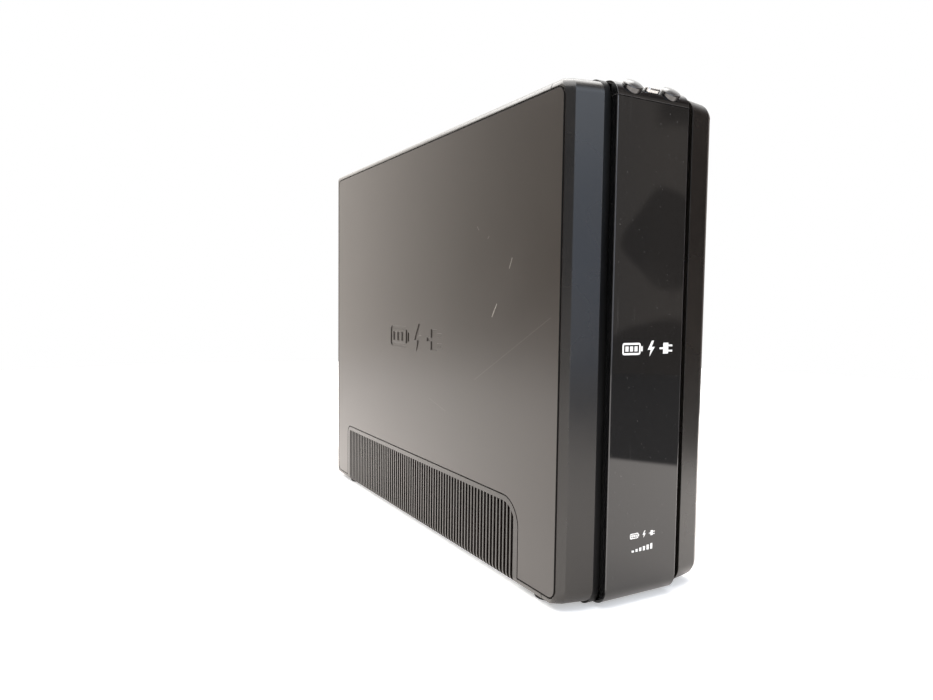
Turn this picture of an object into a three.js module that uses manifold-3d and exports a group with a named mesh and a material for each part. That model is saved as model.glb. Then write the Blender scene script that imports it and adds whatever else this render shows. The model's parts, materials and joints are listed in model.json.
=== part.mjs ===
// A tower uninterruptible power supply: two half shells with louvre grilles, a lift-off battery
// cover, a glossy front block with three buttons, and the works that the case holds.
// Millimetres, +Z up, front towards -Y, origin at the centre of the footprint.
import * as THREE from 'three';
import { mergeVertices } from 'three/addons/utils/BufferGeometryUtils.js';
import Module from 'manifold-3d';

const wasm = await Module();
wasm.setup();

// ---- driving dimensions -------------------------------------------------------------------
const caseWidth = 112;
const caseDepth = 382;
const caseHeight = 301;
const footHeight = 2.8;
const blockProud = 1;          // how far the glossy block stands above and below the shells
const gap = 0.3;               // clearance between touching pieces
const wall = 2.5;              // top, bottom and bezel walls
const sideWall = 2;            // shell wall behind a side skin
const skinThickness = 2.2;
const topRound = 5.5;
const bottomRound = 4.9;
const rearRound = 5;
const arcSteps = 4;
const overlap = 0.5;           // how far joined solids run into each other

// front bezel
const bezelDepth = 23;         // front plane back to the seam over the top
const wingSetback = 3.2;       // wing's inner edge behind the front plane
const wingAngle = THREE.MathUtils.degToRad(11.8);
const wingTopRound = 9;
const wingBottomRound = 11;
const bridgeDepth = 8;         // crossbars of the bezel, behind the glossy block
const chamferWidth = 5.1;
const chamferDepth = 3.5;

// side skins and grilles
const skinFrontInset = 10.3;   // front plane to the skin's front edge
const skinRearInset = 7;
const skinCorner = 6;
const grilleFrontInset = 48.6;
const grilleRearInset = 34.2;
const grilleTop = 55.6;
const grilleFrontRound = 17;
const grilleRearRound = 6.5;
const grilleBorder = 3.4;
const grilleFloor = 11.5;      // how far the grille reaches in under the case
const louvrePitch = 4.1;
const louvreSlot = 2.5;

// glossy front block
const blockHalfWidth = 27.2;
const grooveWidth = 6.5;
const grooveDepth = 6;
const hoopProud = 0.5;         // how far the groove's floor stands above and below the block
const hoopRound = 8;
const blockRound = 10;
const fasciaWall = 1.8;
const lipReach = 13;           // how far the fascia turns in under the case
const capSeamDrop = 9.8;       // block top down to the seam between fascia and button cap
const buttonSpacing = 14.5;
const buttonRadius = 6.4;      // half its width
const buttonSquash = 0.78;     // its length down the slope over its width
const buttonRise = 2.5;
const buttonStem = 3;
const menuHalfLength = 5.2;
const menuHalfWidth = 2.4;
const menuRise = 1.5;
const buttonTravel = 1.5;

// display
const lcdWidth = 42;
const lcdHeight = 44;
const lcdThickness = 5;
const lcdDrop = 43;            // block top down to the middle of the display
const displayBoardHeight = 62;
const displayBoardWidth = 41;
const boardThickness = 1.6;

// battery pack and its bay
const batteryLength = 151;
const batteryWidth = 65;
const batteryHeight = 94;
const batteryLidEdge = 6;
const lidGroove = 0.6;
const bayWall = 2;
const bayClearance = 0.6;
const bayFrontInset = 32;      // front plane to the bay's outer front wall
const bayFloor = 62;
const bayLegCount = 4;
const legInset = 22;
const headerThickness = 3;
const headerInset = 15;        // header's edge in from the pack's edge
const plugSize = 22;
const socketFlange = 3;
const strapThickness = 0.8;
const strapWidth = 40;

// transformer
const coreLength = 114;
const coreHeight = 95;
const coreStack = 50;
const coreLeg = 38;
const windowHeight = 57;
const coilBuild = 17;
const coilCorner = 6;
const coreCentreY = 78;
const bracketThickness = 2;
const bracketFlange = 10;
const bracketHeight = 40;
const bracketHole = 2.2;

// rear panel and what sits in it
const panelThickness = 2.5;
const lipDepth = 3.5;          // the shells' lip behind the panel
const lipWidth = 3.8;
const lipCorner = 3;
const panelCorner = 2;
const outletRows = 5;
const outletPitchX = 50;
const outletPitchZ = 28;
const outletLowest = 134;
const outletWidth = 32;
const outletHeight = 24;
const outletDepth = 22;
const outletCoreWidth = 21;
const outletCoreHeight = 13;
const outletMoat = 2.4;
const outletCoreDrop = 0.5;
const outletBack = 6;          // solid behind the moat
const contactSpread = 6.5;     // outer contacts from the middle one
const contactRise = { outer: -1, middle: 2 };
const contactSlot = { x: 2, z: 6 };
const inletX = -25;
const inletZ = 102;
const inletWidth = 32;
const inletHeight = 24;
const inletMouthWidth = 24.4;
const inletMouthHeight = 16.6;
const inletMouthDepth = 16;
const pinLength = 9;
const pinSize = { x: 2, z: 5 };
const pinRise = { outer: -1.5, middle: 2.5 };
const flangeThickness = 2;
const flangeMargin = 2;        // how far a flange overlaps its hole in the panel
const breakerX = 25;
const breakerRadius = 8;
const breakerDepth = 20;
const breakerButtonRadius = 3.6;
const breakerButtonProud = 1;
const jackZ = 277;
const jackWidth = 17;
const jackHeight = 14;
const jackDepth = 18;
const jackMouthWidth = 11.8;
const jackMouthHeight = 8;
const jackMouthDepth = 12;
const jackKey = { x: 6, z: 1.6, drop: 0.7 };
const jackPlaces = { data_port: -30, network_in_jack: -9, network_out_jack: 12 };
const groundScrewX = 31;
const fanSize = 60;
const fanThickness = 20;
const fanCentreZ = 50;
const fanBore = 56;
const hubRadius = 13;
const hubThickness = 12;
const motorThickness = 3;
const bladeCount = 7;
const bladeTip = 26.6;
const bladeChord = 13;
const bladeThickness = 1.4;
const bladeTwist = THREE.MathUtils.degToRad(38);
const guardSlot = 3;
const guardPitch = 6;
const guardSpine = 3;

// electronics
const mainBoardLength = 280;
const mainBoardHeight = 84;
const mainBoardFloor = 206;
const mainBoardSetIn = 6;      // board face to the shell's inner side
const bossRadius = 3.5;
const capacitorRadius = 12.5;
const capacitorLength = 42;
const capacitorPitch = 29;
const capacitorRow = { y: 30, z: 252, count: 3 };
const sinkLength = 96;
const sinkReach = 34;
const sinkHeight = 44;
const sinkFins = 6;
const sinkBase = 4;
const sinkWeb = 2;
const sinkPlace = { y: -80, z: 250 };
const relaySize = { x: 16, y: 28, z: 20 };
const relayRow = { y: 50, z: 222, pitch: 34, count: 2 };

// feet, latch and screws
const footRadius = 8;
const footInsetX = 12;
const footInsetY = 33;
const latchLength = 18;
const latchWidth = 8;
const latchInsetX = 28;
const latchInsetY = 31;
const latchTravel = 1.5;
const latchRim = 1.5;
const screwHeadRadius = 3.4;
const screwHeadHeight = 1.6;
const screwShankRadius = 1.5;
const screwLength = 8;
const screwSlot = 0.8;
const screwInset = { x: 6, z: 8 };

// ---- derived places -----------------------------------------------------------------------
const halfWidth = caseWidth / 2;
const frontY = -caseDepth / 2;
const rearY = caseDepth / 2;
const shellTop = caseHeight - blockProud;
const shellFloor = footHeight;
const blockFloor = footHeight - blockProud;
const seamY = frontY + bezelDepth;
const recessX = halfWidth - skinThickness - gap;
const innerX = recessX - sideWall;
const cavityFloor = shellFloor + wall;
const cavityTop = shellTop - wall;
const skinFrontY = frontY + skinFrontInset;
const skinRearY = rearY - skinRearInset;
const skinFloor = shellFloor + bottomRound;
const skinTop = shellTop - topRound + gap;
const grilleFrontY = frontY + grilleFrontInset;
const grilleRearY = rearY - grilleRearInset;
const wingEdge = blockHalfWidth + grooveWidth;
const wingEdgeY = frontY + wingSetback;
const capSeamZ = caseHeight - capSeamDrop;
const panelOuterY = rearY - lipDepth - gap;
const panelInnerY = panelOuterY - panelThickness;
const bayFrontY = frontY + bayFrontInset;
const bayRearY = bayFrontY + batteryLength + 2 * (bayClearance + bayWall);
const bayHeight = 2 * (batteryWidth + bayClearance + bayWall) + gap;
const packMouthX = -innerX - sideWall + strapThickness + gap;
const packBackX = packMouthX + batteryHeight + gap + headerThickness;
const bayBackX = packBackX + gap + bayWall;
const socketBackX = innerX - gap - bayWall;
const boardFaceX = innerX - mainBoardSetIn;
const far = 2 * caseDepth;

// ---- solids -------------------------------------------------------------------------------
function solidOf(geometry) {
  const bare = geometry.clone();
  bare.deleteAttribute('normal');
  bare.deleteAttribute('uv');
  const merged = mergeVertices(bare);
  const vertProperties = new Float32Array(merged.attributes.position.array);
  const triVerts = new Uint32Array(merged.index.array);
  return new wasm.Manifold(new wasm.Mesh({ numProp: 3, vertProperties, triVerts }));
}

function geometryOf(solid) {
  const mesh = solid.getMesh();
  const geometry = new THREE.BufferGeometry();
  geometry.setAttribute('position', new THREE.BufferAttribute(mesh.vertProperties, 3));
  geometry.setIndex(new THREE.BufferAttribute(mesh.triVerts, 1));
  geometry.computeVertexNormals();
  return geometry;
}

function box(x, y, z) {
  const geometry = new THREE.BoxGeometry(x[1] - x[0], y[1] - y[0], z[1] - z[0]);
  return solidOf(geometry.translate((x[0] + x[1]) / 2, (y[0] + y[1]) / 2, (z[0] + z[1]) / 2));
}

// A shape drawn in two axes and extruded along the third, between two values of that third.
function prism(shape, along, from, to, steps = arcSteps) {
  const geometry = new THREE.ExtrudeGeometry(shape, {
    depth: to - from,
    bevelEnabled: false,
    curveSegments: steps,
  });
  geometry.translate(0, 0, from);
  const turn = new THREE.Matrix4();
  const x = new THREE.Vector3(1, 0, 0);
  const y = new THREE.Vector3(0, 1, 0);
  const z = new THREE.Vector3(0, 0, 1);
  if (along === 'x') turn.makeBasis(y, z, x);
  if (along === 'y') turn.makeBasis(x, z, y.clone().negate());
  geometry.applyMatrix4(turn);
  return solidOf(geometry);
}

// Along Y the drawn shape is (x, z) and the extrusion runs from -to up to -from.
function prismY(shape, from, to, steps) {
  return prism(shape, 'y', -to, -from, steps);
}

function cylinder(radius, along, centre, from, to, sides = 24) {
  const geometry = new THREE.CylinderGeometry(radius, radius, to - from, sides);
  geometry.translate(0, (from + to) / 2, 0);
  if (along === 'x') geometry.rotateZ(-Math.PI / 2).translate(0, centre[0], centre[1]);
  if (along === 'y') geometry.translate(centre[0], 0, centre[1]);
  if (along === 'z') geometry.rotateX(Math.PI / 2).translate(centre[0], centre[1], 0);
  return solidOf(geometry);
}

function join(...solids) {
  return solids.reduce((sum, solid) => sum.add(solid));
}

// A rectangle with its own radius at each corner, counter-clockwise from the low corner.
function roundedRect(low, high, radii) {
  const [lowLow, highLow, highHigh, lowHigh] = radii;
  const shape = new THREE.Shape();
  shape.moveTo(low[0] + lowLow, low[1]);
  shape.lineTo(high[0] - highLow, low[1]);
  if (highLow) shape.absarc(high[0] - highLow, low[1] + highLow, highLow, -Math.PI / 2, 0, false);
  shape.lineTo(high[0], high[1] - highHigh);
  if (highHigh) shape.absarc(high[0] - highHigh, high[1] - highHigh, highHigh, 0, Math.PI / 2, false);
  shape.lineTo(low[0] + lowHigh, high[1]);
  if (lowHigh) shape.absarc(low[0] + lowHigh, high[1] - lowHigh, lowHigh, Math.PI / 2, Math.PI, false);
  shape.lineTo(low[0], low[1] + lowLow);
  if (lowLow) shape.absarc(low[0] + lowLow, low[1] + lowLow, lowLow, Math.PI, Math.PI * 1.5, false);
  return shape;
}

function polygon(points) {
  return new THREE.Shape(points.map(([x, y]) => new THREE.Vector2(x, y)));
}

// ---- the case's outer form ----------------------------------------------------------------
// Everything behind an upright front face that starts at (x, y), slants back outwards, and is rounded
// at the top and bottom.
function slantedFace(side, x, y, angle) {
  const profile = roundedRect(
    [0, shellFloor],
    [caseDepth, shellTop],
    [wingBottomRound, rearRound, rearRound, wingTopRound],
  );
  const turned = prism(profile, 'x', -far, far).rotate([0, 0, side * THREE.MathUtils.radToDeg(angle)]);
  return turned.translate([side * x, y, 0]);
}

function wingCornerY() {
  return wingEdgeY + (halfWidth - chamferWidth - wingEdge) * Math.tan(wingAngle);
}

function caseForm() {
  const ends = roundedRect(
    [-halfWidth, shellFloor],
    [halfWidth, shellTop],
    [bottomRound, bottomRound, topRound, topRound],
  );
  const cornerY = wingCornerY();
  const plan = polygon([
    [-halfWidth + chamferWidth, cornerY],
    [-wingEdge, wingEdgeY],
    [wingEdge, wingEdgeY],
    [halfWidth - chamferWidth, cornerY],
    [halfWidth, cornerY + chamferDepth],
    [halfWidth, rearY - rearRound],
    [halfWidth - rearRound, rearY],
    [-halfWidth + rearRound, rearY],
    [-halfWidth, rearY - rearRound],
    [-halfWidth, cornerY + chamferDepth],
  ]);
  const form = prismY(ends, frontY, rearY).intersect(prism(plan, 'z', 0, caseHeight));
  return form.intersect(wingFrontOnly(-1)).intersect(wingFrontOnly(1));
}

function wingFrontOnly(side) {
  const rearHalf = box([-far, far], [0, far], [0, caseHeight]);
  const ends = prism(
    roundedRect([frontY, shellFloor], [rearY, shellTop], [0, rearRound, rearRound, 0]),
    'x',
    -far,
    far,
  );
  const chamferAngle = Math.atan(chamferDepth / chamferWidth);
  const wing = slantedFace(side, wingEdge, wingEdgeY, wingAngle);
  const chamfer = slantedFace(side, halfWidth - chamferWidth, wingCornerY(), chamferAngle);
  return wing.intersect(chamfer).subtract(rearHalf).add(ends.intersect(rearHalf));
}

// ---- side skins and grilles (drawn in y, z) -----------------------------------------------
function skinOutline(grow) {
  return roundedRect(
    [skinFrontY - grow, skinFloor - grow],
    [skinRearY + grow, skinTop + grow],
    Array(4).fill(skinCorner + grow),
  );
}

function grilleOutline(grow) {
  return roundedRect(
    [grilleFrontY - grow, -caseHeight],
    [grilleRearY + grow, grilleTop + grow],
    [0, 0, grilleRearRound + grow, grilleFrontRound + grow],
  );
}

function recessCut(side) {
  const outer = side < 0 ? [-far, -recessX] : [recessX, far];
  const skin = prism(skinOutline(gap), 'x', ...outer, 6);
  const grille = prism(grilleOutline(gap), 'x', ...outer, 6);
  const under = grille.intersect(box([-far, far], [-far, far], [-far, skinFloor]));
  return skin.add(under);
}

function grilleWell(side) {
  const reach = halfWidth - grilleFloor - gap;
  const x = side < 0 ? [-far, -reach] : [reach, far];
  const floor = box(x, [grilleFrontY - gap, grilleRearY + gap], [-far, cavityFloor + gap]);
  const bend = halfWidth - bottomRound - gap;
  const corner = box(
    side < 0 ? [-far, -bend] : [bend, far],
    [grilleFrontY - gap, grilleRearY + gap],
    [-far, skinFloor + gap],
  );
  const window = prism(
    roundedRect(
      [grilleFrontY + grilleBorder, shellFloor],
      [grilleRearY - grilleBorder, grilleTop - grilleBorder],
      [0, 0, grilleRearRound - grilleBorder, grilleFrontRound - grilleBorder],
    ),
    'x',
    ...(side < 0 ? [-far, -innerX + gap] : [innerX - gap, far]),
  );
  return join(floor, corner, window);
}

function sideSkin(side) {
  const x = side < 0 ? [-halfWidth, -halfWidth + skinThickness] : [halfWidth - skinThickness, halfWidth];
  return prism(skinOutline(0), 'x', ...x, 6).subtract(prism(grilleOutline(gap), 'x', -far, far, 6));
}

function grille(side) {
  const thick = skinThickness;
  const reach = halfWidth - grilleFloor;
  const corner = halfWidth - bottomRound;
  const section = new THREE.Shape();
  section.moveTo(halfWidth - thick, grilleTop);
  section.lineTo(halfWidth - thick, shellFloor + bottomRound);
  section.lineTo(corner, shellFloor + thick);
  section.lineTo(reach, shellFloor + thick);
  section.lineTo(reach, shellFloor);
  section.lineTo(corner, shellFloor);
  section.absarc(corner, shellFloor + bottomRound, bottomRound, -Math.PI / 2, 0, false);
  section.lineTo(halfWidth, grilleTop);
  section.closePath();
  let body = prismY(section, grilleFrontY, grilleRearY, 2);
  body = body.intersect(prism(grilleOutline(0), 'x', 0, far, 6));
  const field = prism(
    roundedRect(
      [grilleFrontY + grilleBorder, -caseHeight],
      [grilleRearY - grilleBorder, grilleTop - grilleBorder],
      [0, 0, grilleRearRound - grilleBorder, grilleFrontRound - grilleBorder],
    ),
    'x',
    reach + thick,
    far,
  );
  const span = grilleRearY - grilleFrontY - 2 * grilleBorder;
  const count = Math.floor((span + louvrePitch - louvreSlot) / louvrePitch);
  const start = (grilleFrontY + grilleRearY - (count - 1) * louvrePitch) / 2;
  const slots = [];
  for (let i = 0; i < count; i += 1) {
    const y = start + i * louvrePitch;
    slots.push(box([0, far], [y - louvreSlot / 2, y + louvreSlot / 2], [-caseHeight, grilleTop]));
  }
  body = body.subtract(wasm.Manifold.union(slots).intersect(field));
  return side < 0 ? body.mirror([1, 0, 0]) : body;
}

// ---- half shells and bezel ----------------------------------------------------------------
function cavity() {
  return box([-innerX, innerX], [frontY + grooveDepth, rearY - lipDepth], [cavityFloor, cavityTop]);
}

function rearOpening() {
  const shape = roundedRect(
    [-halfWidth + wall + lipWidth, shellFloor + wall + lipWidth],
    [halfWidth - wall - lipWidth, shellTop - wall - lipWidth],
    Array(4).fill(lipCorner),
  );
  return prismY(shape, panelInnerY, far);
}

function footSpots() {
  const x = halfWidth - footInsetX;
  const front = frontY + footInsetY;
  const rear = rearY - footInsetY;
  return [[-x, front], [x, front], [-x, rear], [x, rear]];
}

function shellBody() {
  const seam = box([-far, far], [seamY + gap / 2, far], [-far, far]);
  return caseForm().intersect(seam).subtract(cavity()).subtract(rearOpening());
}

function leftShell(body) {
  const half = box([-far, -gap / 2], [-far, far], [-far, far]);
  const mouth = box(
    [-far, -innerX + gap],
    [bayFrontY + bayWall, bayRearY - bayWall],
    [bayFloor + bayWall, bayFloor + bayHeight - bayWall],
  );
  const shell = body.intersect(half).subtract(recessCut(-1)).subtract(grilleWell(-1));
  return join(shell.subtract(mouth), latchGuide()).subtract(latchHole());
}

function rightShell(body) {
  const half = box([gap / 2, far], [-far, far], [-far, far]);
  const shell = body.intersect(half).subtract(recessCut(1)).subtract(grilleWell(1));
  return join(shell, ...boardBosses());
}

function bossSpots() {
  const middle = (seamY + panelInnerY) / 2;
  const y = mainBoardLength / 2 - 2 * bossRadius;
  const z = mainBoardFloor + 2 * bossRadius;
  const top = mainBoardFloor + mainBoardHeight - 2 * bossRadius;
  return [[middle - y, z], [middle + y, z], [middle - y, top], [middle + y, top]];
}

function boardBosses() {
  const from = boardFaceX + boardThickness + gap;
  return bossSpots().map((spot) => cylinder(bossRadius, 'x', spot, from, innerX + overlap, 12));
}

function frontBezel() {
  const front = box([-far, far], [-far, seamY - gap / 2], [-far, far]);
  const opening = box([-wingEdge, wingEdge], [-far, far], [-far, far]);
  const inner = box([-innerX, innerX], [skinFrontY + wall, far], [cavityFloor, cavityTop]);
  const frame = caseForm().intersect(front).subtract(inner);
  const bridges = box([-wingEdge - 1, wingEdge + 1], [seamY - bridgeDepth, seamY - gap / 2], [-far, far]);
  const crossbar = frame.intersect(bridges).intersect(caseForm());
  const tidied = frame.subtract(opening).add(crossbar);
  return tidied.subtract(recessCut(-1)).subtract(recessCut(1));
}

// ---- glossy front block -------------------------------------------------------------------
function blockProfile(inset, backY) {
  const round = Math.max(blockRound - inset, 1);
  return roundedRect(
    [frontY + inset, blockFloor + inset],
    [backY, caseHeight - inset],
    [round, 0, 0, round],
  );
}

function frontCarrier() {
  const backY = seamY - bridgeDepth - gap;
  const channel = prism(blockProfile(grooveDepth, backY), 'x', -wingEdge + gap, wingEdge - gap, 5);
  const hoop = roundedRect(
    [frontY + grooveDepth, blockFloor - hoopProud],
    [backY, caseHeight + hoopProud],
    [hoopRound, 0, 0, hoopRound],
  );
  const bore = box([-blockHalfWidth - gap, blockHalfWidth + gap], [-far, far], [-far, far]);
  const hoops = prism(hoop, 'x', -wingEdge + gap, wingEdge - gap, 5).subtract(bore);
  const core = prism(
    blockProfile(fasciaWall + gap, backY),
    'x',
    -blockHalfWidth + fasciaWall + gap,
    blockHalfWidth - fasciaWall - gap,
    5,
  );
  const hollow = box(
    [-blockHalfWidth + 2 * fasciaWall + wall, blockHalfWidth - 2 * fasciaWall - wall],
    [frontY + grooveDepth - wall + gap, far],
    [blockFloor + grooveDepth + wall, caseHeight - grooveDepth - wall],
  );
  const window = box(
    [-lcdWidth / 2 - gap, lcdWidth / 2 + gap],
    [-far, 0],
    [lcdZ() - lcdHeight / 2 - gap, lcdZ() + lcdHeight / 2 + gap],
  );
  return join(channel, core, hoops).subtract(hollow).subtract(window).subtract(buttonWells(gap));
}

function lcdZ() {
  return caseHeight - lcdDrop;
}

function fasciaShell() {
  const backY = frontY + grooveDepth - gap;
  const outer = prism(blockProfile(0, seamY), 'x', -blockHalfWidth, blockHalfWidth, 6);
  const half = blockHalfWidth - fasciaWall;
  const inner = prism(blockProfile(fasciaWall, far), 'x', -half, half, 6);
  return outer.subtract(inner).intersect(box([-far, far], [-far, backY], [-far, far]));
}

function fascia() {
  const low = box([-far, far], [-far, far], [-far, capSeamZ - gap / 2]);
  const lowerLip = prism(blockProfile(0, frontY + lipReach), 'x', -blockHalfWidth, blockHalfWidth, 6)
    .subtract(prism(blockProfile(fasciaWall, far), 'x', -far, far, 6))
    .intersect(box([-far, far], [-far, far], [-far, blockFloor + blockRound]));
  return fasciaShell().add(lowerLip).intersect(low);
}

function buttonCap() {
  const high = box([-far, far], [-far, far], [capSeamZ + gap / 2, far]);
  const top = prism(blockProfile(0, seamY - bridgeDepth - gap), 'x', -blockHalfWidth, blockHalfWidth, 6)
    .subtract(prism(blockProfile(fasciaWall, far), 'x', -far, far, 6));
  return fasciaShell().add(top).intersect(high).subtract(buttonWells(gap));
}

// Buttons are built along +Z about the origin, then laid on the rounding at 45 degrees.
const buttonTilt = Math.PI / 4;

function onRounding(solid, x) {
  const y = frontY + blockRound - blockRound * Math.sin(buttonTilt);
  const z = caseHeight - blockRound + blockRound * Math.cos(buttonTilt);
  return solid.rotate([THREE.MathUtils.radToDeg(buttonTilt), 0, 0]).translate([x, y, z]);
}

function dome(radius, rise) {
  const points = [new THREE.Vector2(0, -buttonStem), new THREE.Vector2(radius, -buttonStem)];
  const shares = [[1, 0.55], [0.86, 0.8], [0.5, 0.95], [0, 1]];
  for (const [out, up] of shares) points.push(new THREE.Vector2(radius * out, rise * up));
  return solidOf(new THREE.LatheGeometry(points, 20).rotateX(Math.PI / 2).scale(1, buttonSquash, 1));
}

function oval(halfLength, halfWidthOfOval, from, to) {
  const shape = new THREE.Shape();
  const straight = halfLength - halfWidthOfOval;
  shape.absarc(straight, 0, halfWidthOfOval, -Math.PI / 2, Math.PI / 2, false);
  shape.absarc(-straight, 0, halfWidthOfOval, Math.PI / 2, Math.PI * 1.5, false);
  shape.closePath();
  return prism(shape, 'z', from, to, 8);
}

function buttonWells(clearance) {
  const reach = buttonStem + buttonTravel + 1;
  const disc = cylinder(1, 'z', [0, 0], -reach, 3 * buttonRise, 20);
  const round = disc.scale([buttonRadius + clearance, buttonRadius * buttonSquash + clearance, 1]);
  const flat = oval(menuHalfLength + clearance, menuHalfWidth + clearance, -reach, 3 * buttonRise);
  return join(onRounding(round, -buttonSpacing), onRounding(flat, 0), onRounding(round, buttonSpacing));
}

// ---- display ------------------------------------------------------------------------------
function lcdModule() {
  const front = frontY + fasciaWall + gap;
  return box(
    [-lcdWidth / 2, lcdWidth / 2],
    [front, front + lcdThickness],
    [lcdZ() - lcdHeight / 2, lcdZ() + lcdHeight / 2],
  );
}

function displayBoard() {
  const front = frontY + fasciaWall + gap + lcdThickness + gap;
  const z = lcdZ() - 4;
  return box(
    [-displayBoardWidth / 2, displayBoardWidth / 2],
    [front, front + boardThickness],
    [z - displayBoardHeight / 2, z + displayBoardHeight / 2],
  );
}

// ---- battery pack -------------------------------------------------------------------------
function bayLegs() {
  const z = [cavityFloor + gap, bayFloor + overlap];
  const spine = box([bayBackX - legInset - bayWall, bayBackX - legInset], [bayFrontY, bayRearY], z);
  const step = (bayRearY - bayFrontY - bayWall) / (bayLegCount - 1);
  const ribs = [];
  for (let i = 0; i < bayLegCount; i += 1) {
    const y = bayFrontY + i * step;
    ribs.push(box([-bayBackX + legInset, bayBackX - legInset], [y, y + bayWall], z));
  }
  return [spine, ...ribs];
}

function batteryBay() {
  const outer = box(
    [-innerX + gap, bayBackX],
    [bayFrontY, bayRearY],
    [bayFloor, bayFloor + bayHeight],
  );
  const inner = box(
    [-far, bayBackX - bayWall],
    [bayFrontY + bayWall, bayRearY - bayWall],
    [bayFloor + bayWall, bayFloor + bayHeight - bayWall],
  );
  const middle = [(bayFrontY + bayRearY) / 2, bayFloor + bayHeight / 2];
  const half = plugSize / 2 + gap;
  const hole = box([0, far], [middle[0] - half, middle[0] + half], [middle[1] - half, middle[1] + half]);
  return join(outer.subtract(inner).subtract(hole), ...bayLegs());
}

function battery(row) {
  const low = bayFloor + bayWall + bayClearance + row * (batteryWidth + gap);
  const front = bayFrontY + bayWall + bayClearance;
  const block = box(
    [packMouthX, packMouthX + batteryHeight],
    [front, front + batteryLength],
    [low, low + batteryWidth],
  );
  const groove = box(
    [packMouthX + batteryHeight - batteryLidEdge - 1, packMouthX + batteryHeight - batteryLidEdge],
    [front - 1, front + batteryLength + 1],
    [low - 1, low + batteryWidth + 1],
  ).subtract(box(
    [-far, far],
    [front + lidGroove, front + batteryLength - lidGroove],
    [low + lidGroove, low + batteryWidth - lidGroove],
  ));
  return block.subtract(groove);
}

function packHeader() {
  const x = packMouthX + batteryHeight + gap;
  const front = bayFrontY + bayWall + bayClearance;
  const low = bayFloor + bayWall + bayClearance;
  const plate = box(
    [x, x + headerThickness],
    [front + headerInset, front + batteryLength - headerInset],
    [low + headerInset, low + 2 * batteryWidth + gap - headerInset],
  );
  const middle = [(bayFrontY + bayRearY) / 2, bayFloor + bayHeight / 2];
  const half = plugHalf();
  const plug = box(
    [x + headerThickness - 1, socketBackX - gap],
    [middle[0] - half.y, middle[0] + half.y],
    [middle[1] - half.z, middle[1] + half.z],
  );
  return plate.add(plug);
}

function plugHalf() {
  return { y: plugSize / 2 - wall, z: plugSize / 4 };
}

function baySocket() {
  const middle = [(bayFrontY + bayRearY) / 2, bayFloor + bayHeight / 2];
  const outer = plugSize / 2;
  const block = box(
    [bayBackX - bayWall, socketBackX + bayWall],
    [middle[0] - outer, middle[0] + outer],
    [middle[1] - outer, middle[1] + outer],
  );
  const flange = box(
    [bayBackX + gap, bayBackX + gap + bayWall],
    [middle[0] - outer - socketFlange, middle[0] + outer + socketFlange],
    [middle[1] - outer - socketFlange, middle[1] + outer + socketFlange],
  );
  const half = plugHalf();
  const mouth = box(
    [-far, socketBackX],
    [middle[0] - half.y - gap, middle[0] + half.y + gap],
    [middle[1] - half.z - gap, middle[1] + half.z + gap],
  );
  return block.add(flange).subtract(mouth);
}

function packStrap() {
  const middle = (bayFrontY + bayRearY) / 2;
  const low = bayFloor + bayWall + bayClearance;
  const high = low + 2 * batteryWidth + gap;
  return box(
    [packMouthX - gap - strapThickness, packMouthX - gap],
    [middle - strapWidth / 2, middle + strapWidth / 2],
    [low + headerInset, high - headerInset],
  );
}

// ---- transformer --------------------------------------------------------------------------
const coreFloor = cavityFloor + gap + bracketThickness + gap;
const coreCentreZ = coreFloor + coreHeight / 2;

function transformerCore() {
  const half = { x: coreStack / 2, y: coreLength / 2, z: coreHeight / 2 };
  const block = box(
    [-half.x, half.x],
    [coreCentreY - half.y, coreCentreY + half.y],
    [coreFloor, coreFloor + coreHeight],
  );
  const windowWidth = (coreLength - 2 * coreLeg) / 2;
  const windows = [-1, 1].map((side) => {
    const y = coreCentreY + side * (coreLeg + windowWidth) / 2;
    return box(
      [-far, far],
      [y - windowWidth / 2, y + windowWidth / 2],
      [coreCentreZ - windowHeight / 2, coreCentreZ + windowHeight / 2],
    );
  });
  return block.subtract(join(...windows));
}

function transformerCoil() {
  const build = Math.min(coilBuild, (coreLength - 2 * coreLeg) / 2 - 2 * gap);
  const outer = roundedRect(
    [-coreStack / 2 - gap - build, coreCentreY - coreLeg / 2 - gap - build],
    [coreStack / 2 + gap + build, coreCentreY + coreLeg / 2 + gap + build],
    Array(4).fill(coilCorner),
  );
  const inner = box(
    [-coreStack / 2 - gap, coreStack / 2 + gap],
    [coreCentreY - coreLeg / 2 - gap, coreCentreY + coreLeg / 2 + gap],
    [-far, far],
  );
  const half = windowHeight / 2 - gap;
  return prism(outer, 'z', coreCentreZ - half, coreCentreZ + half).subtract(inner);
}

function transformerBracket() {
  const floor = cavityFloor + gap;
  const reach = coreLength / 2 + gap;
  const width = [-coreStack / 2, coreStack / 2];
  const ends = [coreCentreY - reach - bracketThickness, coreCentreY + reach + bracketThickness];
  const outer = box(width, ends, [floor, floor + bracketHeight]);
  const inner = box([-far, far], [coreCentreY - reach, coreCentreY + reach], [floor + bracketThickness, far]);
  const flange = [ends[0] - bracketFlange, ends[1] + bracketFlange];
  const foot = box(width, flange, [floor, floor + bracketThickness]);
  const holes = [-1, 1].flatMap((side) => [-1, 1].map((end) => {
    const y = coreCentreY + end * (reach + bracketThickness + bracketFlange / 2);
    return cylinder(bracketHole, 'z', [side * coreStack / 4, y], floor - 1, floor + bracketThickness + 1, 12);
  }));
  return outer.subtract(inner).add(foot).subtract(join(...holes));
}

// ---- rear panel and its fittings ----------------------------------------------------------
function outletSpots() {
  const spots = [];
  for (let row = 0; row < outletRows; row += 1) {
    for (const side of [-1, 1]) {
      spots.push([side * outletPitchX / 2, outletLowest + row * outletPitchZ]);
    }
  }
  return spots;
}

function slab(centre, width, height, from, to) {
  return box(
    [centre[0] - width / 2, centre[0] + width / 2],
    [from, to],
    [centre[1] - height / 2, centre[1] + height / 2],
  );
}

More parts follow.
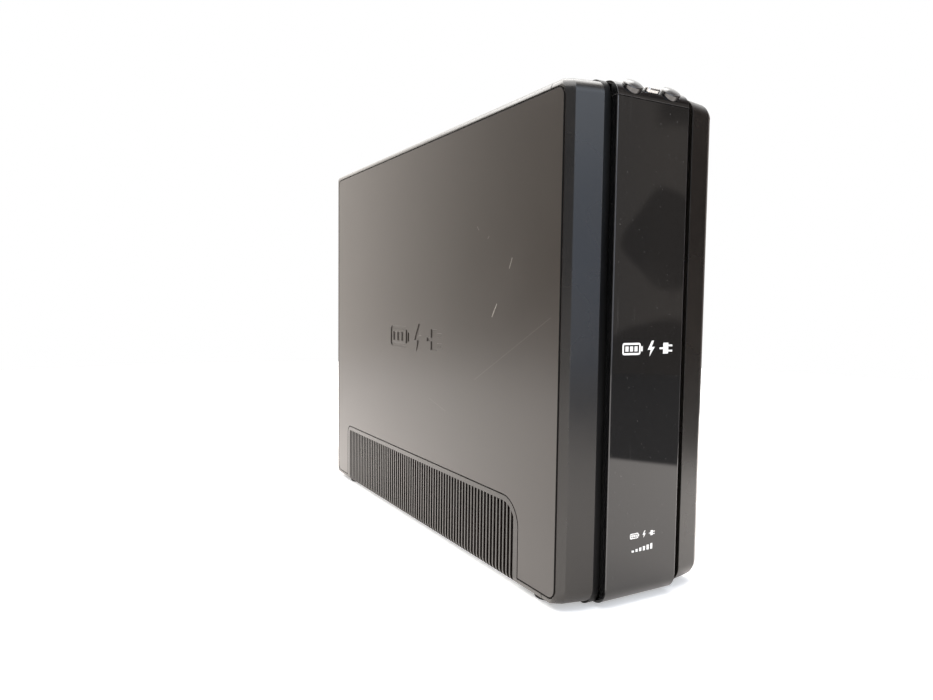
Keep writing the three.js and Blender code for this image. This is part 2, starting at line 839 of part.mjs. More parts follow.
function flanged(centre, width, height, depth) {
  const face = panelOuterY + gap;
  const flange = slab(centre, width, height, face, face + flangeThickness);
  const body = slab(
    centre,
    width - 2 * flangeMargin,
    height - 2 * flangeMargin,
    face + flangeThickness - depth,
    face + flangeThickness / 2,
  );
  return flange.add(body);
}

function panelHole(centre, width, height) {
  const grow = 2 * (gap - flangeMargin);
  return slab(centre, width + grow, height + grow, -far, far);
}

function screwSpots() {
  const x = halfWidth - wall - lipWidth - screwInset.x;
  const low = shellFloor + wall + lipWidth + screwInset.z;
  const high = shellTop - wall - lipWidth - screwInset.z;
  return [[-x, low], [x, low], [-x, high], [x, high]];
}

function panelBore(centre, radius, sides) {
  return cylinder(radius, 'y', centre, panelInnerY - 1, panelOuterY + 1, sides);
}

function rearPanel() {
  const edge = roundedRect(
    [-innerX + gap, cavityFloor + gap],
    [innerX - gap, cavityTop - gap],
    Array(4).fill(panelCorner),
  );
  const plate = prismY(edge, panelInnerY, panelOuterY);
  const cuts = outletSpots().map((spot) => panelHole(spot, outletWidth, outletHeight));
  cuts.push(panelHole([inletX, inletZ], inletWidth, inletHeight));
  cuts.push(panelBore([breakerX, inletZ], breakerRadius - flangeMargin + gap, 24));
  for (const x of Object.values(jackPlaces)) cuts.push(panelHole([x, jackZ], jackWidth, jackHeight));
  for (const spot of [[groundScrewX, jackZ], ...screwSpots()]) {
    cuts.push(panelBore(spot, screwShankRadius + gap, 12));
  }
  const round = panelBore([0, fanCentreZ], fanBore / 2 - 1, 32);
  const count = Math.floor(fanBore / guardPitch);
  for (let i = 0; i < count; i += 1) {
    const z = fanCentreZ + (i - (count - 1) / 2) * guardPitch;
    const row = box([-far, far], [-far, far], [z - guardSlot / 2, z + guardSlot / 2]);
    const spine = box([-guardSpine / 2, guardSpine / 2], [-far, far], [-far, far]);
    cuts.push(round.intersect(row).subtract(spine));
  }
  return plate.subtract(wasm.Manifold.union(cuts));
}

function contactSpots(centre, rise) {
  return [[-contactSpread, rise.outer], [0, rise.middle], [contactSpread, rise.outer]].map(([x, z]) => (
    [centre[0] + x, centre[1] + z]
  ));
}

function outlet(centre) {
  const face = panelOuterY + gap + flangeThickness;
  const moatDepth = outletDepth - outletBack;
  const outerRing = slab(
    centre,
    outletCoreWidth + 2 * outletMoat,
    outletCoreHeight + 2 * outletMoat,
    face - moatDepth,
    far,
  );
  const core = slab(centre, outletCoreWidth, outletCoreHeight, -far, face - outletCoreDrop);
  const slots = contactSpots(centre, contactRise).map((spot) => (
    slab(spot, contactSlot.x, contactSlot.z, face - moatDepth, far)
  ));
  return flanged(centre, outletWidth, outletHeight, outletDepth)
    .subtract(outerRing.subtract(core))
    .subtract(join(...slots));
}

function mainsInlet() {
  const centre = [inletX, inletZ];
  const face = panelOuterY + gap + flangeThickness;
  const mouth = slab(centre, inletMouthWidth, inletMouthHeight, face - inletMouthDepth, far);
  const root = face - inletMouthDepth;
  const pins = contactSpots(centre, pinRise).map((spot) => (
    slab(spot, pinSize.x, pinSize.z, root - overlap, root + pinLength)
  ));
  const body = flanged(centre, inletWidth, inletHeight, inletMouthDepth + outletBack);
  return body.subtract(mouth).add(join(...pins));
}

function jack(x) {
  const centre = [x, jackZ];
  const face = panelOuterY + gap + flangeThickness;
  const mouth = slab(centre, jackMouthWidth, jackMouthHeight, face - jackMouthDepth, far);
  const keyZ = jackZ - jackMouthHeight / 2 - jackKey.drop;
  const key = slab([x, keyZ], jackKey.x, jackKey.z, face - jackMouthDepth, far);
  return flanged(centre, jackWidth, jackHeight, jackDepth).subtract(mouth).subtract(key);
}

function breakerBody() {
  const face = panelOuterY + gap;
  const centre = [breakerX, inletZ];
  const rim = cylinder(breakerRadius, 'y', centre, face, face + flangeThickness);
  const barrel = cylinder(breakerRadius - flangeMargin, 'y', centre, face - breakerDepth, face + 1);
  const bore = cylinder(breakerButtonRadius + gap, 'y', centre, face - breakerDepth / 2, far);
  return rim.add(barrel).subtract(bore);
}

function breakerButton() {
  const face = panelOuterY + gap + flangeThickness;
  const deep = panelOuterY + gap - breakerDepth / 2 + gap;
  return cylinder(breakerButtonRadius, 'y', [breakerX, inletZ], deep, face + breakerButtonProud, 20);
}

function screw(spot, face) {
  const head = cylinder(screwHeadRadius, 'y', spot, face + gap, face + gap + screwHeadHeight, 16);
  const root = face + gap + overlap;
  const shank = cylinder(screwShankRadius, 'y', spot, root - screwLength, root, 8);
  const crossLength = screwHeadRadius * 1.1;
  const cross = [[crossLength, screwSlot], [screwSlot, crossLength]].map(([width, height]) => (
    slab(spot, width, height, face + gap + screwHeadHeight - screwSlot, far)
  ));
  return head.add(shank).subtract(join(...cross));
}

// ---- fan ----------------------------------------------------------------------------------
const fanRear = panelInnerY - gap;
const fanFront = fanRear - fanThickness;

function fanFrame() {
  const half = fanSize / 2;
  const outer = roundedRect([-half, fanCentreZ - half], [half, fanCentreZ + half], [4, 4, 4, 4]);
  const ring = prismY(outer, fanFront, fanRear)
    .subtract(cylinder(fanBore / 2, 'y', [0, fanCentreZ], -far, far, 40));
  const motor = cylinder(hubRadius, 'y', [0, fanCentreZ], fanRear - motorThickness, fanRear, 28);
  const struts = [45, 165, 285].map((angle) => {
    const bar = box([hubRadius - 2, fanBore / 2 + 1], [fanRear - motorThickness, fanRear], [-1.5, 1.5]);
    return bar.rotate([0, angle, 0]).translate([0, 0, fanCentreZ]);
  });
  return join(ring, motor, ...struts);
}

function fanRotor() {
  const back = fanRear - motorThickness - gap;
  const hub = cylinder(hubRadius, 'y', [0, 0], back - hubThickness, back, 28);
  const blades = [];
  for (let i = 0; i < bladeCount; i += 1) {
    const blade = box(
      [hubRadius - 1.5, bladeTip],
      [-bladeChord / 2, bladeChord / 2],
      [-bladeThickness / 2, bladeThickness / 2],
    );
    const twisted = blade.rotate([THREE.MathUtils.radToDeg(bladeTwist), 0, 0]);
    const placed = twisted.translate([0, back - hubThickness / 2, 0]);
    blades.push(placed.rotate([0, (360 / bladeCount) * i, 0]));
  }
  const room = cylinder(bladeTip, 'y', [0, 0], back - hubThickness, back, 40);
  return join(hub, ...blades).intersect(room).translate([0, 0, fanCentreZ]);
}

// ---- electronics --------------------------------------------------------------------------
const boardMiddleY = (seamY + panelInnerY) / 2;

function mainBoard() {
  return box(
    [boardFaceX, boardFaceX + boardThickness],
    [boardMiddleY - mainBoardLength / 2, boardMiddleY + mainBoardLength / 2],
    [mainBoardFloor, mainBoardFloor + mainBoardHeight],
  );
}

function heatSink() {
  const face = boardFaceX - gap;
  const y = [sinkPlace.y - sinkLength / 2, sinkPlace.y + sinkLength / 2];
  const low = sinkPlace.z - sinkHeight / 2;
  const base = box([face - sinkBase, face], y, [low, low + sinkHeight]);
  const fins = [];
  for (let i = 0; i < sinkFins; i += 1) {
    const z = low + i * (sinkHeight - sinkWeb) / (sinkFins - 1);
    fins.push(box([face - sinkReach, face - sinkBase + 1], y, [z, z + sinkWeb]));
  }
  return join(base, ...fins);
}

function capacitor(index) {
  const y = capacitorRow.y + index * capacitorPitch;
  const end = boardFaceX - gap;
  const waist = capacitorRadius - 1;
  const profile = [[0, 0], [waist, 0], [capacitorRadius, 1], [capacitorRadius, capacitorLength - 5]];
  profile.push([waist, capacitorLength - 4], [capacitorRadius, capacitorLength - 3]);
  profile.push([capacitorRadius, capacitorLength - 1], [waist, capacitorLength], [0, capacitorLength]);
  const lathe = new THREE.LatheGeometry(profile.map(([r, h]) => new THREE.Vector2(r, h)), 16);
  lathe.rotateZ(-Math.PI / 2).translate(end - capacitorLength, y, capacitorRow.z);
  return solidOf(lathe);
}

function relay(index) {
  const y = relayRow.y + index * relayRow.pitch;
  const end = boardFaceX - gap;
  return box(
    [end - relaySize.x, end],
    [y - relaySize.y / 2, y + relaySize.y / 2],
    [relayRow.z - relaySize.z / 2, relayRow.z + relaySize.z / 2],
  );
}

// ---- feet and latch -----------------------------------------------------------------------
function foot([x, y]) {
  const top = footHeight - gap;
  const profile = [[0, 0], [footRadius - 1, 0], [footRadius, 1], [footRadius, top], [0, top]];
  const lathe = new THREE.LatheGeometry(profile.map(([r, h]) => new THREE.Vector2(r, h)), 18);
  return solidOf(lathe.rotateX(Math.PI / 2).translate(x, y, 0));
}

const latchCentre = [-halfWidth + latchInsetX, rearY - latchInsetY];

function latchHole() {
  return box(
    [latchCentre[0] - latchWidth / 2 - gap, latchCentre[0] + latchWidth / 2 + gap],
    [latchCentre[1] - latchLength / 2 - gap, latchCentre[1] + latchLength / 2 + gap],
    [-far, cavityFloor + latchRim + overlap],
  );
}

function latchGuide() {
  const rim = latchRim + gap;
  return box(
    [latchCentre[0] - latchWidth / 2 - rim, latchCentre[0] + latchWidth / 2 + rim],
    [latchCentre[1] - latchLength / 2 - rim, latchCentre[1] + latchLength / 2 + rim],
    [cavityFloor - 1, cavityFloor + latchRim],
  );
}

function coverLatch() {
  const x = [latchCentre[0] - latchWidth / 2, latchCentre[0] + latchWidth / 2];
  const y = [latchCentre[1] - latchLength / 2, latchCentre[1] + latchLength / 2];
  return box(x, y, [shellFloor - 0.6, cavityFloor + latchRim + latchTravel]);
}

// ---- finishes and assembly ----------------------------------------------------------------
function finish(color, roughness, metalness = 0) {
  return new THREE.MeshStandardMaterial({ color, roughness, metalness });
}

const finishes = {
  satinCase: finish(0x57534f, 0.48),
  satinSkin: finish(0x6b6762, 0.42),
  groove: finish(0x101011, 0.35),
  gloss: finish(0x08080a, 0.08),
  buttonDark: finish(0x1b191a, 0.2),
  silver: finish(0xb9bbc0, 0.25, 1),
  rubber: finish(0x1c1c1c, 0.85),
  blackPlastic: finish(0x222224, 0.55),
  socket: finish(0x161617, 0.5),
  steel: finish(0xa7a9ac, 0.35, 1),
  laminations: finish(0x4e4a48, 0.5, 0.8),
  winding: finish(0xa1602b, 0.45, 0.6),
  board: finish(0x1f5134, 0.5),
  lcd: finish(0x27301f, 0.15),
  batteryCase: finish(0x2a2c2f, 0.6),
  strap: finish(0xd8d4c8, 0.7),
  aluminium: finish(0xbfc2c4, 0.4, 1),
  capacitorSleeve: finish(0x20283a, 0.4),
  relayCase: finish(0x2f5d9b, 0.4),
  jackShell: finish(0x3a3b3d, 0.35),
  breaker: finish(0x0f0f10, 0.45),
};

const unit = new THREE.Group();

function place(name, solid, material) {
  const mesh = new THREE.Mesh(geometryOf(solid), material);
  mesh.name = name;
  unit.add(mesh);
}

const shells = shellBody();
place('left_shell', leftShell(shells), finishes.satinCase);
place('right_shell', rightShell(shells), finishes.satinCase);
place('battery_cover', sideSkin(-1), finishes.satinSkin);
place('side_skin', sideSkin(1), finishes.satinSkin);
place('left_grille', grille(-1), finishes.satinCase);
place('right_grille', grille(1), finishes.satinCase);
place('cover_latch', coverLatch(), finishes.blackPlastic);
place('front_bezel', frontBezel(), finishes.satinCase);
place('front_carrier', frontCarrier(), finishes.groove);
place('fascia', fascia(), finishes.gloss);
place('button_cap', buttonCap(), finishes.gloss);
const menuOval = oval(menuHalfLength, menuHalfWidth, -buttonStem, menuRise);
place('mute_button', onRounding(dome(buttonRadius, buttonRise), -buttonSpacing), finishes.buttonDark);
place('power_button', onRounding(dome(buttonRadius, buttonRise), buttonSpacing), finishes.buttonDark);
place('menu_button', onRounding(menuOval, 0), finishes.silver);
place('lcd_module', lcdModule(), finishes.lcd);
place('display_board', displayBoard(), finishes.board);

place('battery_bay', batteryBay(), finishes.blackPlastic);
place('battery_lower', battery(0), finishes.batteryCase);
place('battery_upper', battery(1), finishes.batteryCase);
place('pack_header', packHeader(), finishes.blackPlastic);
place('pack_strap', packStrap(), finishes.strap);
place('bay_socket', baySocket(), finishes.socket);

place('transformer_core', transformerCore(), finishes.laminations);
place('transformer_coil', transformerCoil(), finishes.winding);
place('transformer_bracket', transformerBracket(), finishes.steel);

place('rear_panel', rearPanel(), finishes.blackPlastic);
outletSpots().forEach((spot, i) => place(`outlet_${i + 1}`, outlet(spot), finishes.socket));
place('mains_inlet', mainsInlet(), finishes.socket);
place('breaker_body', breakerBody(), finishes.breaker);
place('breaker_button', breakerButton(), finishes.breaker);
for (const [name, x] of Object.entries(jackPlaces)) place(name, jack(x), finishes.jackShell);
place('ground_screw', screw([groundScrewX, jackZ], panelOuterY), finishes.steel);
screwSpots().forEach((spot, i) => place(`panel_screw_${i + 1}`, screw(spot, panelOuterY), finishes.steel));
place('fan_frame', fanFrame(), finishes.blackPlastic);
place('fan_rotor', fanRotor(), finishes.blackPlastic);

place('main_board', mainBoard(), finishes.board);
place('heat_sink', heatSink(), finishes.aluminium);
for (let i = 0; i < capacitorRow.count; i += 1) {
  place(`capacitor_${i + 1}`, capacitor(i), finishes.capacitorSleeve);
}
for (let i = 0; i < relayRow.count; i += 1) place(`relay_${i + 1}`, relay(i), finishes.relayCase);
footSpots().forEach((spot, i) => place(`foot_${i + 1}`, foot(spot), finishes.rubber));

export default unit;
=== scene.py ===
import json
import math

import bmesh
import bpy
from mathutils import Matrix, Quaternion, Vector


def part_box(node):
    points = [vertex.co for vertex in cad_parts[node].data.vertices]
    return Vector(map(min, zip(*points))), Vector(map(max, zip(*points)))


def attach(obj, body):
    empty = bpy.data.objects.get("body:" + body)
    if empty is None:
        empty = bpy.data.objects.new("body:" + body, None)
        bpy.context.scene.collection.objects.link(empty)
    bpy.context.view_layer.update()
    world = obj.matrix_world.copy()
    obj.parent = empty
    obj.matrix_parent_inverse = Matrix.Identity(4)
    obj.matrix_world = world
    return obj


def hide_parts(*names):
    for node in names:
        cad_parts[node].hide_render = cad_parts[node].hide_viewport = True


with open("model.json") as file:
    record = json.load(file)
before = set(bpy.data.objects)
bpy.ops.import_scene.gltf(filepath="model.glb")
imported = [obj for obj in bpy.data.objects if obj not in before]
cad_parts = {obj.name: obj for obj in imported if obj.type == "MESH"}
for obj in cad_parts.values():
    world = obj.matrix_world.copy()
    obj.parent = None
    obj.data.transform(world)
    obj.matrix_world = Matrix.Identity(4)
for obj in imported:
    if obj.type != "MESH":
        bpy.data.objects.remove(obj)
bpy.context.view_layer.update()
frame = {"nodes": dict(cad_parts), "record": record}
millimetre = 0.001
slotOf = {part["node"]: part["material_slot"] for part in frame["record"]["subparts"]}
for cadPiece in frame["nodes"].values():
    cadPiece.data.materials.clear()
for leftover in list(bpy.data.materials):
    bpy.data.materials.remove(leftover)
bodyOf = {node: body for body, nodes in frame["record"]["behaviour"]["bodies"].items() for node in nodes}

cameraView = {
    "place": (-0.2931, -0.4966, 0.1749),
    "turn": 29.433,    # degrees to the right of straight back
    "tilt": -3.662,
    "roll": 0.717,
    "lens": 27.35,
    "sensor": 36,
    "nearest": 0.01,
}


def aimCamera(view):
    turn, tilt = math.radians(view["turn"]), math.radians(view["tilt"])
    ahead = Vector((math.sin(turn) * math.cos(tilt), math.cos(turn) * math.cos(tilt), math.sin(tilt)))
    data = bpy.data.cameras.new("camera")
    data.lens = view["lens"]
    data.sensor_width = view["sensor"]
    data.clip_start = view["nearest"]
    camera = bpy.data.objects.new("camera", data)
    camera.rotation_mode = "QUATERNION"
    roll = Quaternion((0, 0, 1), math.radians(view["roll"]))
    camera.rotation_quaternion = (-ahead).to_track_quat("Z", "Y") @ roll
    camera.location = view["place"]
    bpy.context.scene.collection.objects.link(camera)
    bpy.context.scene.camera = camera


aimCamera(cameraView)


def addNode(tree, kind, sockets=None, **settings):
    node = tree.nodes.new(kind)
    for name, value in settings.items():
        setattr(node, name, value)
    for name, value in (sockets or {}).items():
        if isinstance(value, bpy.types.NodeSocket):
            tree.links.new(value, node.inputs[name])
        else:
            node.inputs[name].default_value = value
    return node


def mathNode(tree, operation, *values):
    return addNode(tree, "ShaderNodeMath", dict(enumerate(values)), operation=operation).outputs[0]


def vectorNode(tree, operation, *values, result=0):
    node = addNode(tree, "ShaderNodeVectorMath", dict(enumerate(values)), operation=operation)
    return node.outputs[result]


def opaque(colour):
    return (*colour, 1.0)


def spanNode(tree, value, low, high, toLow=0.0, toHigh=1.0, smooth=True):
    sockets = {"Value": value, "From Min": low, "From Max": high, "To Min": toLow, "To Max": toHigh}
    node = addNode(tree, "ShaderNodeMapRange", sockets)
    node.interpolation_type = "SMOOTHSTEP" if smooth else "LINEAR"
    return node.outputs[0]


def colourMix(tree, share, first, second):
    return addNode(tree, "ShaderNodeMix", {0: share, 6: first, 7: second}, data_type="RGBA").outputs[2]


def noiseNode(tree, vector, scale, detail=2.0, roughness=0.5):
    sockets = {"Vector": vector, "Scale": scale, "Detail": detail, "Roughness": roughness}
    return addNode(tree, "ShaderNodeTexNoise", sockets).outputs["Fac"]


def axisNode(tree, vector, axis):
    return addNode(tree, "ShaderNodeSeparateXYZ", {0: vector}).outputs[axis]


def scaledNode(tree, vector, amount):
    return addNode(tree, "ShaderNodeVectorMath", {0: vector, "Scale": amount}, operation="SCALE").outputs[0]


studio = {
    "floorRadius": 1.6,
    "floorSides": 96,
    "floorTone": 0.9,
    "floorTint": (0.90, 0.85, 0.81),
    "floorRoughness": 0.75,
    "tableSlant": -1.5,    # the table ends on this slant to the front and right, for everything but the camera
    "tableEdge": -0.88,
    "edgeBlur": 0.02,
    "roomFloor": 0.10,    # what is left of the tone beyond the table's edge
    "floorGlow": 0.5,
    "nearGlow": 0.8,    # more on the left, rising from farEdge to nearEdge
    "farEdge": -0.26,
    "nearEdge": -0.058,
    "brightness": 2.4,
    "lampAim": (0, 0, 0.12),
    "roomShift": (0.0, 0.0, 0.24),
    "roomShapes": 5.5,    # scale of the darker shapes in the room, and what they leave of its light
    "roomShade": 0.52,
    "ceiling": (0.95, 0.95, 0.95),
}
lamps = {
    "keyLight": {"power": 92, "size": 2.6, "place": (-0.3, 0.25, 1.75), "tint": (1.0, 0.975, 0.94)},
    "frontLight": {"power": 3.0, "size": 0.8, "place": (0.25, -1.3, 0.9), "tint": (0.86, 0.93, 1.0)},
}
roomLight = [    # share of a full turn from the front, by the left, the back and the right, and its colour
    (0.00, (0.54, 0.66, 0.86)),
    (0.06, (0.18, 0.21, 0.26)),
    (0.13, (0.045, 0.041, 0.032)),
    (0.25, (0.065, 0.057, 0.05)),
    (0.36, (0.10, 0.09, 0.08)),
    (0.405, (0.16, 0.145, 0.13)),
    (0.455, (0.92, 0.85, 0.78)),
    (0.50, (1.10, 1.04, 0.97)),
    (0.60, (0.50, 0.47, 0.44)),
    (0.70, (0.07, 0.055, 0.05)),
    (0.83, (0.07, 0.055, 0.05)),
    (0.875, (0.23, 0.205, 0.185)),
    (0.90, (0.20, 0.19, 0.185)),
    (0.955, (0.47, 0.57, 0.74)),
    (1.00, (0.54, 0.66, 0.86)),
]


def lightRoom():
    world = bpy.data.worlds.new("room")
    bpy.context.scene.world = world
    world.use_nodes = True
    tree = world.node_tree
    tree.nodes.clear()
    way = addNode(tree, "ShaderNodeTexCoord").outputs["Generated"]
    split = addNode(tree, "ShaderNodeSeparateXYZ", {0: way})
    angle = mathNode(tree, "ARCTAN2", split.outputs["X"], split.outputs["Y"])
    share = mathNode(tree, "MULTIPLY_ADD", angle, 0.5 / math.pi, 0.5)
    ramp = addNode(tree, "ShaderNodeValToRGB", {0: share})
    stops = ramp.color_ramp.elements
    for index, (place, colour) in enumerate(roomLight):
        stop = stops[index] if index < len(stops) else stops.new(place)
        stop.position = place
        stop.color = opaque(colour)
    shapes = noiseNode(tree, vectorNode(tree, "ADD", way, studio["roomShift"]), studio["roomShapes"], 1.0)
    patches = spanNode(tree, shapes, 0.46, 0.49, studio["roomShade"], 1.0)
    shaded = mathNode(tree, "MAXIMUM", spanNode(tree, split.outputs["Y"], -0.3, 0.1), patches)
    furnished = scaledNode(tree, ramp.outputs[0], shaded)
    behind = spanNode(tree, split.outputs["Y"], -0.35, 0.45)
    above = mathNode(tree, "MULTIPLY", spanNode(tree, split.outputs["Z"], 0.25, 0.8), behind)
    lit = colourMix(tree, above, furnished, opaque(studio["ceiling"]))
    around = addNode(tree, "ShaderNodeBackground", {"Color": lit, "Strength": studio["brightness"]})
    plain = addNode(tree, "ShaderNodeBackground", {"Color": (1, 1, 1, 1), "Strength": 1.0})
    seen = addNode(tree, "ShaderNodeLightPath").outputs["Is Camera Ray"]
    mixed = addNode(tree, "ShaderNodeMixShader", {0: seen, 1: around.outputs[0], 2: plain.outputs[0]})
    addNode(tree, "ShaderNodeOutputWorld", {0: mixed.outputs[0]})


def addSoftbox(name, power, size, place, tint):
    data = bpy.data.lights.new(name, "AREA")
    data.energy = power
    data.size = size
    data.color = tint
    lamp = bpy.data.objects.new(name, data)
    lamp.location = place
    lamp.rotation_euler = (Vector(place) - Vector(studio["lampAim"])).to_track_quat("Z", "Y").to_euler()
    lamp.visible_camera = False
    bpy.context.scene.collection.objects.link(lamp)


def layFloor():
    shape = bmesh.new()
    bmesh.ops.create_circle(shape, cap_ends=True, segments=studio["floorSides"], radius=studio["floorRadius"])
    mesh = bpy.data.meshes.new("floor")
    shape.to_mesh(mesh)
    shape.free()
    floor = bpy.data.objects.new("floor", mesh)
    bpy.context.scene.collection.objects.link(floor)
    paint = bpy.data.materials.new("paleFloor")
    paint.use_nodes = True
    tree = paint.node_tree
    tree.nodes.clear()
    place = addNode(tree, "ShaderNodeTexCoord").outputs["Object"]
    cloudy = noiseNode(tree, place, 5.0)
    tone = spanNode(tree, cloudy, 0.3, 0.7, studio["floorTone"] - 0.01, studio["floorTone"])
    ahead = vectorNode(tree, "DOT_PRODUCT", place, (studio["tableSlant"], 1.0, 0.0), result="Value")
    edgeFrom, edgeTo = studio["tableEdge"] - studio["edgeBlur"], studio["tableEdge"] + studio["edgeBlur"]
    edge = spanNode(tree, ahead, edgeFrom, edgeTo, studio["roomFloor"], 1.0)
    seen = addNode(tree, "ShaderNodeLightPath").outputs["Is Camera Ray"]
    tinted = colourMix(tree, seen, opaque(studio["floorTint"]), (1, 1, 1, 1))
    bare = mathNode(tree, "MULTIPLY", tone, mathNode(tree, "MAXIMUM", edge, seen))
    shown = scaledNode(tree, tinted, bare)
    across = axisNode(tree, place, "X")
    rising = spanNode(tree, across, studio["farEdge"], studio["nearEdge"])
    beside = mathNode(tree, "LESS_THAN", across, studio["nearEdge"])
    extra = mathNode(tree, "MULTIPLY", mathNode(tree, "MULTIPLY", rising, beside), studio["nearGlow"])
    shader = addNode(tree, "ShaderNodeBsdfPrincipled", {
        "Base Color": shown,
        "Roughness": studio["floorRoughness"],
        "Emission Color": shown,
        "Emission Strength": mathNode(tree, "ADD", extra, studio["floorGlow"]),
    })
    addNode(tree, "ShaderNodeOutputMaterial", {0: shader.outputs[0]})
    mesh.materials.append(paint)


bpy.context.scene.view_settings.view_transform = "Standard"
lightRoom()
for name, lamp in lamps.items():
    addSoftbox(name, **lamp)
layFloor()
print("camera, floor and light are set")


def newEffect(name, inputs, outputs):
    group = bpy.data.node_groups.new(name, "ShaderNodeTree")
    for label, kind, value in inputs:
        socket = group.interface.new_socket(label, in_out="INPUT", socket_type=kind)
        if value is not None:
            socket.default_value = value
    for label in outputs:
        group.interface.new_socket(label, in_out="OUTPUT", socket_type="NodeSocketFloat")
    return group, addNode(group, "NodeGroupInput").outputs, addNode(group, "NodeGroupOutput").inputs


def useEffect(tree, name, **values):
    node = addNode(tree, "ShaderNodeGroup", node_tree=bpy.data.node_groups[name])
    for label, value in values.items():
        if isinstance(value, bpy.types.NodeSocket):
            tree.links.new(value, node.inputs[label])
        else:
            node.inputs[label].default_value = value
    return node.outputs


def makeMouldGrain():
    inputs = [("Vector", "NodeSocketVector", None), ("Scale", "NodeSocketFloat", 900.0)]
    group, given, result = newEffect("mouldGrain", inputs, ["Height", "Tone"])
    fine = noiseNode(group, given["Vector"], given["Scale"], 3.0, 0.65)
    pebble = addNode(group, "ShaderNodeTexVoronoi", {"Vector": given["Vector"], "Scale": given["Scale"]})
    finer = mathNode(group, "MULTIPLY", fine, 0.6)
    mixed = mathNode(group, "MULTIPLY_ADD", pebble.outputs["Distance"], 0.45, finer)
    wideScale = mathNode(group, "MULTIPLY", given["Scale"], 0.012)
    group.links.new(mixed, result["Height"])
    group.links.new(noiseNode(group, given["Vector"], wideScale, 3.0, 0.55), result["Tone"])


def makeEdgeRub():
    inputs = [
        ("Vector", "NodeSocketVector", None),
        ("Scale", "NodeSocketFloat", 60.0),
        ("Amount", "NodeSocketFloat", 0.3),
    ]
    group, given, result = newEffect("edgeRub", inputs, ["Mask"])
    edge = addNode(group, "ShaderNodeAttribute", attribute_name="edgeMask").outputs["Fac"]
    patchy = spanNode(group, noiseNode(group, given["Vector"], given["Scale"], 4.0, 0.7), 0.42, 0.68)
    worn = mathNode(group, "MULTIPLY", edge, patchy)
    group.links.new(mathNode(group, "MULTIPLY", worn, given["Amount"]), result["Mask"])


def makeDustFall():
    inputs = [("Vector", "NodeSocketVector", None), ("Amount", "NodeSocketFloat", 0.2)]
    group, given, result = newEffect("dustFall", inputs, ["Mask"])
    normal = addNode(group, "ShaderNodeNewGeometry").outputs["Normal"]
    upward = spanNode(group, axisNode(group, normal, "Z"), 0.45, 0.98)
    cloudy = spanNode(group, noiseNode(group, given["Vector"], 45.0, 5.0, 0.7), 0.35, 0.72)
    specks = spanNode(group, noiseNode(group, given["Vector"], 1400.0, 1.0), 0.62, 0.74)
    laid = mathNode(group, "MAXIMUM", mathNode(group, "MULTIPLY", cloudy, 0.6), specks)
    settled = mathNode(group, "MULTIPLY", upward, laid)
    group.links.new(mathNode(group, "MULTIPLY", settled, given["Amount"]), result["Mask"])


def makeHairScratches():
    inputs = [
        ("Vector", "NodeSocketVector", None),
        ("Stretch", "NodeSocketVector", (40.0, 12.0, 900.0)),
        ("Amount", "NodeSocketFloat", 0.3),
    ]
    group, given, result = newEffect("hairScratches", inputs, ["Mask"])
    stretched = vectorNode(group, "MULTIPLY", given["Vector"], given["Stretch"])
    line = spanNode(group, noiseNode(group, stretched, 1.0, 1.0), 0.66, 0.74)
    where = spanNode(group, noiseNode(group, given["Vector"], 22.0, 2.0), 0.5, 0.68)
    scratched = mathNode(group, "MULTIPLY", line, where)
    group.links.new(mathNode(group, "MULTIPLY", scratched, given["Amount"]), result["Mask"])


def makeScrape():
    inputs = [
        ("Vector", "NodeSocketVector", None),
        ("Start", "NodeSocketVector", (0.0, 0.0, 0.0)),
        ("End", "NodeSocketVector", (0.0, 0.0, 0.01)),
        ("Width", "NodeSocketFloat", 0.0004),
    ]
    group, given, result = newEffect("scrape", inputs, ["Mask"])
    along = vectorNode(group, "SUBTRACT", given["End"], given["Start"])
    across = vectorNode(group, "SUBTRACT", given["Vector"], given["Start"])
    reach = vectorNode(group, "DOT_PRODUCT", across, along, result="Value")
    whole = vectorNode(group, "DOT_PRODUCT", along, along, result="Value")
    beyond = mathNode(group, "DIVIDE", reach, whole)
    share = mathNode(group, "MINIMUM", mathNode(group, "MAXIMUM", beyond, 0.0), 1.0)
    offset = vectorNode(group, "SUBTRACT", across, scaledNode(group, along, share))
    apart = vectorNode(group, "LENGTH", offset, result="Value")
    ragged = mathNode(group, "MULTIPLY", noiseNode(group, given["Vector"], 700.0, 2.0), given["Width"])
    group.links.new(mathNode(group, "LESS_THAN", apart, ragged), result["Mask"])


def makeSmudges():
    inputs = [("Vector", "NodeSocketVector", None), ("Scale", "NodeSocketFloat", 30.0)]
    group, given, result = newEffect("smudges", inputs, ["Mask"])
    warp = noiseNode(group, given["Vector"], given["Scale"], 3.0, 0.6)
    drift = vectorNode(group, "MULTIPLY", warp, (0.02, 0.02, 0.02))
    shifted = vectorNode(group, "ADD", given["Vector"], drift)
    broad = noiseNode(group, shifted, given["Scale"], 5.0, 0.65)
    group.links.new(spanNode(group, broad, 0.45, 0.72), result["Mask"])


for makeEffect in (makeMouldGrain, makeEdgeRub, makeDustFall, makeHairScratches, makeScrape, makeSmudges):
    makeEffect()


def newFinish(name):
    material = bpy.data.materials.new(name)
    material.use_nodes = True
    tree = material.node_tree
    tree.nodes.clear()
    return material, tree, addNode(tree, "ShaderNodeTexCoord").outputs["Object"]


def closeFinish(tree, sockets):
    shader = addNode(tree, "ShaderNodeBsdfPrincipled", sockets)
    addNode(tree, "ShaderNodeOutputMaterial", {0: shader.outputs[0]})


def bumpNode(tree, height, strength, distance):
    sockets = {"Height": height, "Strength": strength, "Distance": distance}
    return addNode(tree, "ShaderNodeBump", sockets).outputs[0]


dustColour = (0.30, 0.28, 0.25)
patchLift = 1.35    # how much paler the light patches of a moulded surface are
